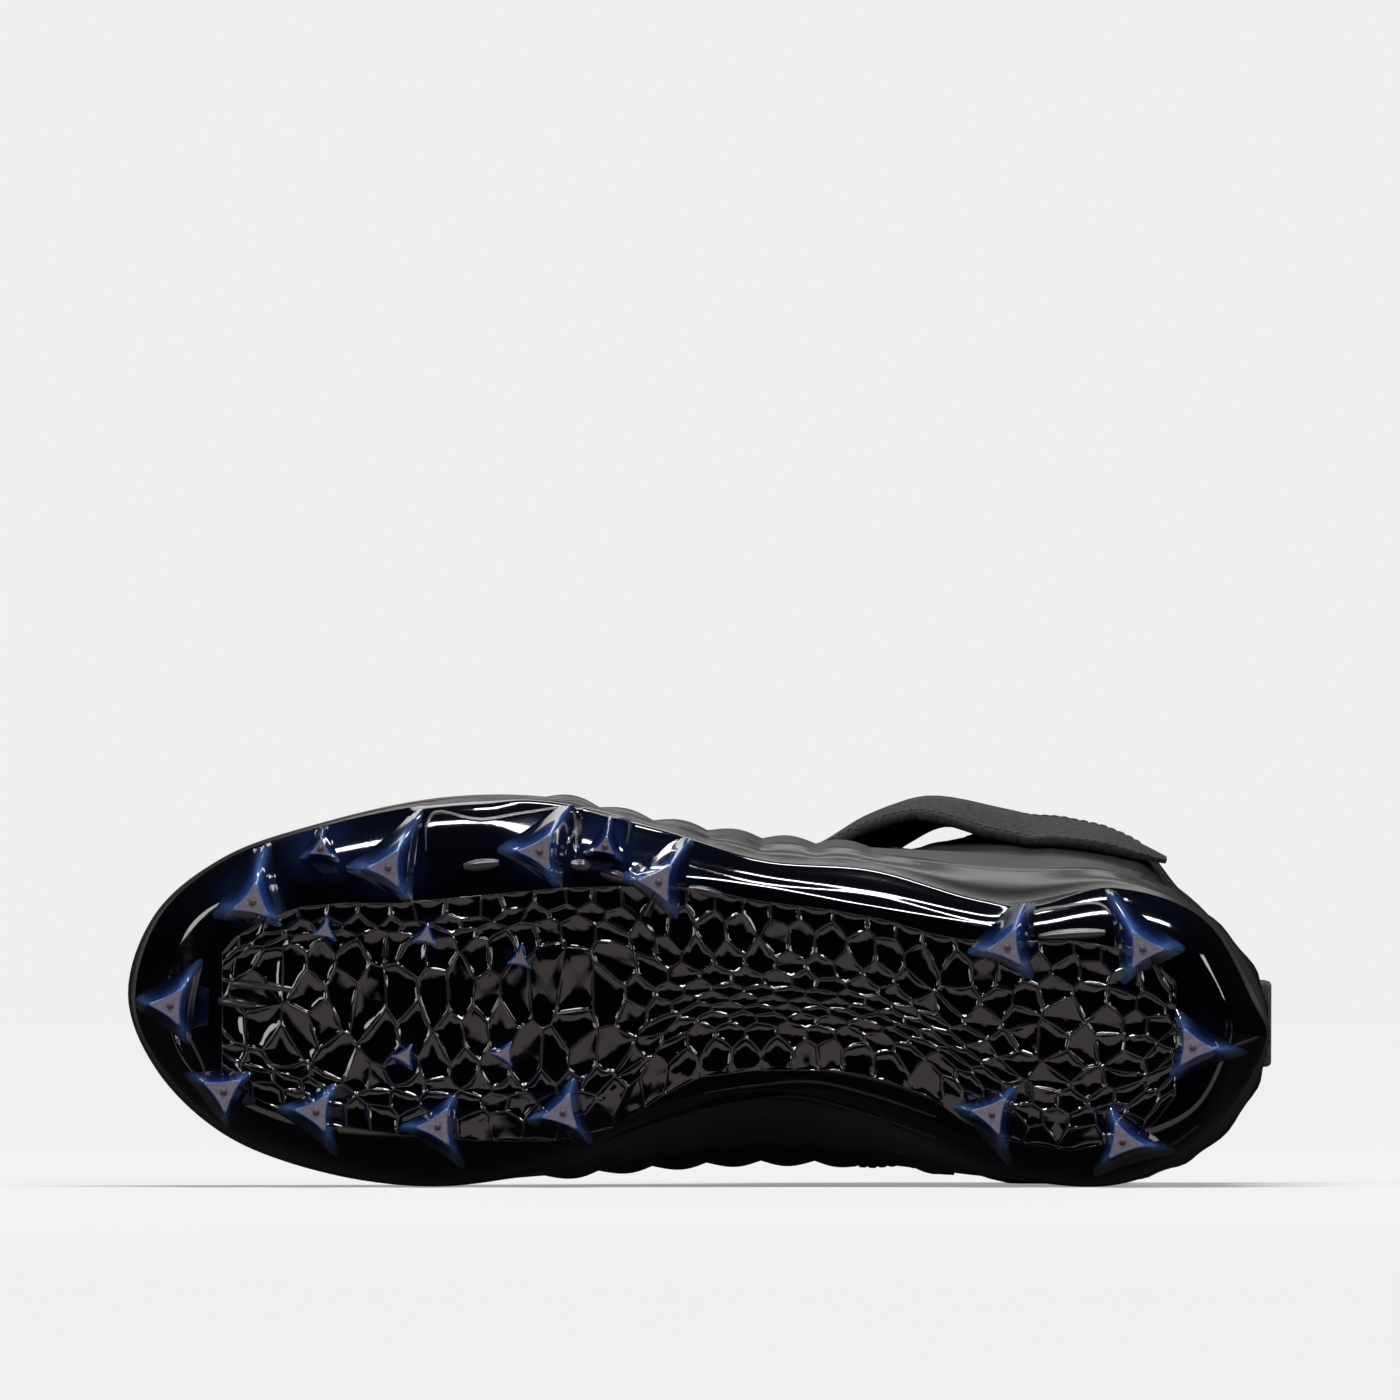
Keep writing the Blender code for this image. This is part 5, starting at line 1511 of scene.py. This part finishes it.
eyelet_rings = run_tree("eyelet_rings", ring_tree, ring_points, [],
                        {"outs": ring_outs, ring_key: EYELET_HOLE * 0.62,
                         wire_key: EYELET_WIRE, metal_key: EYELET_RING})
hand_over(eyelet_rings, "upper")

# %% [markdown]
# ## Lace
# The lace is a flat braid, criss-crossed: each length leaves one eyelet, arches over the
# tongue and dives into the next eyelet on the other side. Below the facings nothing shows,
# so each length ends inside its holes. One bar closes the lowest pair.

# %% Lace
lace_parts = []


def lace_run(a, b, over, name):
    (start, out_a), (goal, out_b) = a, b
    mid = (start + goal) / 2
    mid.z = max(start.z, goal.z) * 0.5 + mid.z * 0.5 + TONGUE_CROWN + 0.0024 + over
    stops = [start - out_a * 0.0030, start + out_a * 0.0004, start.lerp(mid, 0.22) + out_a * 0.0026,
             mid, goal.lerp(mid, 0.22) + out_b * 0.0026, goal + out_b * 0.0004,
             goal - out_b * 0.0030]
    route = curve_through(stops, 6)
    outs = []
    for n in range(len(route)):
        t = n / (len(route) - 1)
        outs.append((out_a.lerp(out_b, t) + Vector((0.2, 0, 1.2)) * math.sin(math.pi * t)))
    wides = [0.0044 - 0.0012 * (abs(n / (len(route) - 1) - 0.5) > 0.36) for n in range(len(route))]
    return sweep(name, route, outs, wides, [0.0016] * len(route), LACE_BRAID)


for n in range(EYELET_PAIRS - 1):
    lace_parts.append(lace_run(HOLES[n][0], HOLES[n + 1][1], 0.0018, f"lace_a{n}"))
    lace_parts.append(lace_run(HOLES[n][1], HOLES[n + 1][0], 0.0, f"lace_b{n}"))
lace_parts.append(lace_run(HOLES[-1][0], HOLES[-1][1], 0.0, "lace_bar"))


def joined(name, parts):
    """Joins several pieces into one."""
    bpy.ops.object.select_all(action="DESELECT")
    for part in parts:
        part.select_set(True)
    bpy.context.view_layer.objects.active = parts[0]
    bpy.ops.object.join()
    made = bpy.context.view_layer.objects.active
    made.name = name
    return made


lace_braid = joined("lace_braid", lace_parts)
hand_over(lace_braid, "lace", "lace")

# %% [markdown]
# ## Ankle strap
# The strap starts stitched to the inner side of the ankle, wraps over the instep and closes
# on the outer side, where its thin free end lifts off and points back. The stops of its
# route hold a place on the upper, how far it stands off, and its width there.

# %% Strap
STRAP_THICK, STRAP_WIDTH, STRAP_CLEAR = 0.0024, 0.036, 0.0007
# Columns: table row, outer side, share of height, stand, width as a share, and bow, which
# is how far the edges lie nearer to the foot than the middle
STRAP_ROUTE = (
    (4.45, False, 0.54, 0.0006, 0.72, 0.0), (4.75, False, 0.55, 0.0026, 0.85, 0.0),
    (5.05, False, 0.57, 0.0058, 0.95, 0.0020), (5.40, False, 0.61, 0.0078, 1.00, 0.0030),
    (5.80, False, 0.70, 0.0078, 1.00, 0.0030), (6.10, False, 0.88, 0.0115, 1.00, 0.0010),
    (6.20, False, 1.00, 0.0130, 1.00, 0.0), (6.20, True, 1.00, 0.0130, 1.00, 0.0),
    (6.10, True, 0.88, 0.0120, 1.00, 0.0010), (5.75, True, 0.70, 0.0115, 1.00, 0.0030),
    (5.30, True, 0.60, 0.0128, 1.00, 0.0045), (4.95, True, 0.55, 0.0163, 1.00, 0.0050),
    (4.50, True, 0.53, 0.0173, 1.00, 0.0050), (4.00, True, 0.52, 0.0116, 1.00, 0.0050),
    (3.50, True, 0.51, 0.0085, 1.00, 0.0045), (3.20, True, 0.51, 0.0083, 0.92, 0.0035),
    (2.90, True, 0.51, 0.0090, 0.72, 0.0020), (2.62, True, 0.51, 0.0096, 0.30, 0.0005),
)


def upper_at(row, outer, share):
    low = int(row)
    sample = ROW_START[low] + (ROW_START[low + 1] - ROW_START[low]) * (row - low)
    k = int(sample)
    pair = (k, k + 1) if outer else (mate(k), mate(k + 1))
    return side_point(pair[0], share).lerp(side_point(pair[1], share), sample - k)


stops, ups = [], []
for row, outer, share, stand, _wide, _bow in STRAP_ROUTE:
    place = upper_at(row, outer, share)
    up = place - upper_at(row, outer, share - 0.06)
    run = upper_at(row + 0.06, outer, share) - upper_at(row - 0.06, outer, share)
    out = run.cross(up).normalized()
    if out.dot(place - Vector((LENGTH * 0.25, 0, place.z))) < 0:
        out = -out
    stops.append(place + out * stand)
    ups.append(up.normalized())
STRAP_STEPS = 6
strap_line = curve_through(stops, STRAP_STEPS)
points, faces, weave = [], [], []
EDGE_SHAPE = ((-1.0, 0.25), (-0.985, 0.0), (-0.94, 0.0), (-0.5, 0.0), (0.0, 0.0), (0.5, 0.0),
              (0.94, 0.0), (0.985, 0.0), (1.0, 0.25), (1.0, 0.75), (0.985, 1.0), (0.94, 1.0),
              (0.5, 1.06), (0.0, 1.08), (-0.5, 1.06), (-0.94, 1.0), (-0.985, 1.0), (-1.0, 0.75))
size = len(EDGE_SHAPE)
strap_edges = {"low": [], "high": []}
travelled = 0.0
for n, spot in enumerate(strap_line):
    at = min(n / STRAP_STEPS, len(stops) - 1.0001)
    a, t = int(at), at - int(at)
    share_wide = STRAP_ROUTE[a][4] + (STRAP_ROUTE[a + 1][4] - STRAP_ROUTE[a][4]) * t
    bow = STRAP_ROUTE[a][5] + (STRAP_ROUTE[a + 1][5] - STRAP_ROUTE[a][5]) * t
    up = ups[a].lerp(ups[a + 1], t)
    ahead = (strap_line[min(n + 1, len(strap_line) - 1)] - strap_line[max(n - 1, 0)]).normalized()
    up = (up - ahead * up.dot(ahead)).normalized()
    out = ahead.cross(up)
    half = share_wide * STRAP_WIDTH / 2
    thick = STRAP_THICK * (1.0 if at < 15 else 1.0 - 0.55 * (at - 15) / 2)
    travelled += (spot - strap_line[n - 1]).length if n else 0.0
    inner = []
    for across, _height in EDGE_SHAPE:
        place = spot + up * (half * across) - out * (STRAP_THICK + bow * across * across)
        hit, normal, _i, _d = UPPER_FACE.find_nearest(place)
        short = STRAP_CLEAR - (place - hit).dot(normal)
        inner.append(place + normal * max(0.0, short))
    for (across, height), base in zip(EDGE_SHAPE, inner):
        points.append(base + out * (thick * height))
        weave.append((across * half, travelled, 0.0))
    if 2 < n < len(strap_line) - 4:
        for side, c in (("low", 2), ("high", 6)):
            strap_edges[side].append(inner[c] + out * (thick * 1.03))
for n in range(len(strap_line) - 1):
    strip(faces, n * size, (n + 1) * size, size)
faces.append(tuple(range(size)))
faces.append(tuple((len(strap_line) - 1) * size + c for c in range(size - 1, -1, -1)))
strap_band = build("strap_band", points, faces, [STRAP_WEB])
attribute(strap_band, "weave", weave, "FLOAT_VECTOR")
tidy_mesh(strap_band, angle=50)
hand_over(strap_band, "strap", "ankle_strap")
stitch("strap_stitches", [strap_edges["low"], strap_edges["high"]], "strap", 2.6, 0.6)

# %% [markdown]
# ## Pull tab
# A folded loop of woven webbing is sewn to the back of the collar, to pull the shoe on. Its
# ends lie flat on the heel and its middle stands off as a shallow arch.

# %% Pull tab
TAB_WIDTH, TAB_HEIGHT, TAB_THICK, TAB_STAND = 0.022, 0.034, 0.0022, 0.0034
seat_low, seat_high = side_point(0, 0.45), side_point(0, 0.93)
tab_up = (seat_high - seat_low).normalized()
tab_out = Vector((-tab_up.z, 0, tab_up.x))
tab_mid = (seat_low + seat_high) / 2
half = TAB_HEIGHT / 2
base = GAP + 0.0006 + TAB_THICK / 2
tab_stops = []
for along, away in ((-0.99, 0.0), (-0.85, 0.0), (-0.72, 0.0004), (-0.5, TAB_STAND * 0.8),
                    (0.0, TAB_STAND), (0.5, TAB_STAND * 0.8), (0.72, 0.0004), (0.85, 0.0),
                    (0.99, 0.0)):
    tab_stops.append(tab_mid + tab_up * (along * half) + tab_out * (base + away))
tab_route = curve_through(tab_stops, 5)
pull_tab = sweep("pull_tab", tab_route, [tab_out] * len(tab_route),
                 [TAB_WIDTH] * len(tab_route), [TAB_THICK] * len(tab_route), TAB_WEB, corner=4)
hand_over(pull_tab, "pull_tab", "heel_pull_tab")
tab_seams = []
for along in (-0.90, -0.78, 0.78, 0.90):
    spot = tab_mid + tab_up * (along * half) + tab_out * (base + TAB_THICK / 2 + 0.0001)
    tab_seams.append([spot + Vector((0, s * TAB_WIDTH * 0.42, 0)) for s in (-1, -0.5, 0, 0.5, 1)])
stitch("pull_tab_stitches", tab_seams, "pull_tab", 2.2, 0.6)

# %% [markdown]
# ## Floor and light
# The photo has a pale studio without a horizon. Here a flat floor glows by what the light
# lacks further out, and past its edge the camera sees the same grey. Glossy black plastic
# looks black only where it mirrors darkness, so reflections don't see the floor: they see a
# dim card that the camera doesn't. Of the five soft panels, two light the shoe alone.


# %% Floor
PANEL_PLACE = (0.05, -0.25, 1.1)
FLOOR_TONE = 0.863        # linear value of the photo's even grey
FLOOR_LIT = 0.62          # the part of it that the glow leaves out right below the panel
CARD_GLOW = 0.75
HALF_FLOOR = 7.0


def floor_material():
    """Pale paint, whose glow adds what the panel's light lacks further out."""
    made, tree, shader = start_material("painted_studio_floor_pale", Roughness=1.0,
                                        Specular_IOR_Level=0.0, Base_Color=colour("#cccccc"))
    shader.inputs["Emission Color"].default_value = (1, 1, 1, 1)
    place = add(tree, "ShaderNodeTexCoord")
    from_panel = add(tree, "ShaderNodeVectorMath", {"operation": "SUBTRACT"},
                     {0: place.outputs["Object"], 1: (PANEL_PLACE[0], PANEL_PLACE[1], 0.0)})
    far = add(tree, "ShaderNodeVectorMath", {"operation": "LENGTH"},
              {0: from_panel.outputs["Vector"]})
    slope = add(tree, "ShaderNodeMath", {"operation": "DIVIDE"},
                {0: far.outputs["Value"], 1: PANEL_PLACE[2]})
    square = add(tree, "ShaderNodeMath", {"operation": "MULTIPLY_ADD"},
                 {0: slope.outputs[0], 1: slope.outputs[0], 2: 1.0})
    faded = add(tree, "ShaderNodeMath", {"operation": "POWER"}, {0: square.outputs[0], 1: -2.0})
    glow = add(tree, "ShaderNodeMath", {"operation": "MULTIPLY_ADD"},
               {0: faded.outputs[0], 1: -FLOOR_LIT, 2: FLOOR_TONE})
    tree.links.new(glow.outputs[0], shader.inputs["Emission Strength"])
    return made


def card_material():
    """A dim warm card that glows for reflections: bright before the shoe, and dark towards it, a
    painted shadow under the shoe.
    """
    made, tree, shader = start_material("grey_reflector_card", Roughness=1.0,
                                        Specular_IOR_Level=0.0, Base_Color=colour("#101010"))
    shader.inputs["Emission Color"].default_value = colour("#f0e2e2")
    place = add(tree, "ShaderNodeTexCoord")
    parts = add(tree, "ShaderNodeSeparateXYZ", None, {"Vector": place.outputs["Object"]})
    # Painted shadow: the card's glow fades out towards the shoe, where its contact shade would fall
    painted_contact_shadow = add(tree, "ShaderNodeMapRange", {"interpolation_type": "SMOOTHSTEP"},
               {"Value": parts.outputs["Y"], "From Min": -0.075, "From Max": -0.095,
                "To Min": 0.02, "To Max": CARD_GLOW})
    ahead = add(tree, "ShaderNodeMapRange", {"interpolation_type": "SMOOTHSTEP"},
                {"Value": parts.outputs["Y"], "From Min": -0.30, "From Max": -0.20})
    both = add(tree, "ShaderNodeMath", {"operation": "MULTIPLY"},
               {0: painted_contact_shadow.outputs["Result"], 1: ahead.outputs["Result"]})
    tree.links.new(both.outputs[0], shader.inputs["Emission Strength"])
    return made


def studio_sheet(name, near, far, up, material):
    """A wide level sheet between two distances, and not part of the shoe."""
    mesh = bpy.data.meshes.new(name)
    verts = [(x, y, up) for y in (near, far) for x in (-HALF_FLOOR, HALF_FLOOR)]
    mesh.from_pydata(verts, [], [(0, 1, 3, 2)])
    mesh.materials.append(material)
    mesh.shade_smooth()
    sheet = bpy.data.objects.new(name, mesh)
    bpy.context.scene.collection.objects.link(sheet)
    sheet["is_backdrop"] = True
    return sheet


studio_floor = studio_sheet("studio_floor", -HALF_FLOOR, HALF_FLOOR, 0.0, floor_material())
studio_floor.visible_glossy = False
studio_floor.visible_diffuse = False
mirror_card = studio_sheet("mirror_card", -0.32, 0.5, -0.002, card_material())
mirror_card.visible_camera = False

# %% Light
world = bpy.data.worlds.new("studio")
world.use_nodes = True
surround = world.node_tree.nodes["Background"]
surround.inputs["Strength"].default_value = 1.0
ray = add(world.node_tree, "ShaderNodeLightPath")
# The room is dim for the light, and the photo's grey where the camera sees past the floor
tone = add(world.node_tree, "ShaderNodeMix", {"data_type": "RGBA"},
           {0: ray.outputs["Is Camera Ray"], 6: (0.005, 0.005, 0.0055, 1.0),
            7: (FLOOR_TONE, FLOOR_TONE, FLOOR_TONE, 1.0)})
world.node_tree.links.new(tone.outputs[2], surround.inputs["Color"])
bpy.context.scene.world = world


def panel(name, place, aim, wide, tall, power):
    light = bpy.data.lights.new(name, "AREA")
    light.shape = "RECTANGLE"
    light.size, light.size_y = wide, tall
    light.energy = power
    made = bpy.data.objects.new(name, light)
    made.location = place
    made.rotation_euler = (Vector(aim) - Vector(place)).to_track_quat("-Z", "Y").to_euler()
    bpy.context.scene.collection.objects.link(made)
    return made


panel("overhead panel", PANEL_PLACE, (0.05, -0.2, 0), 0.9, 0.14, 12)
# Two panels light the shoe alone, so the floor stays even
only_shoe = bpy.data.collections.new("all but the floor")
only_shoe.objects.link(studio_floor)
only_shoe.collection_objects[0].light_linking.link_state = "EXCLUDE"
for made in (panel("rim panel", (0.07, 0.32, 0.8), (0.05, 0, 0.08), 0.28, 0.075, 1.4),
             panel("back panel", (-0.1, 1.3, 0.8), (0, 0.02, 0.05), 0.9, 0.5, 1.8)):
    made.light_linking.receiver_collection = only_shoe
panel("toe side panel", (-1.1, -0.55, 0.35), (-0.08, -0.05, 0.05), 0.35, 0.5, 3)
panel("heel side panel", (1.1, -0.45, 0.5), (0.08, -0.05, 0.05), 0.3, 0.5, 3)

# %% Finish
VISUAL_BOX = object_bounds()
for low_high, cad, seen in zip(("low", "high"), CAD_BOX, VISUAL_BOX):
    print(low_high, [round(c * MM, 1) for c in cad], [round(c * MM, 1) for c in seen])
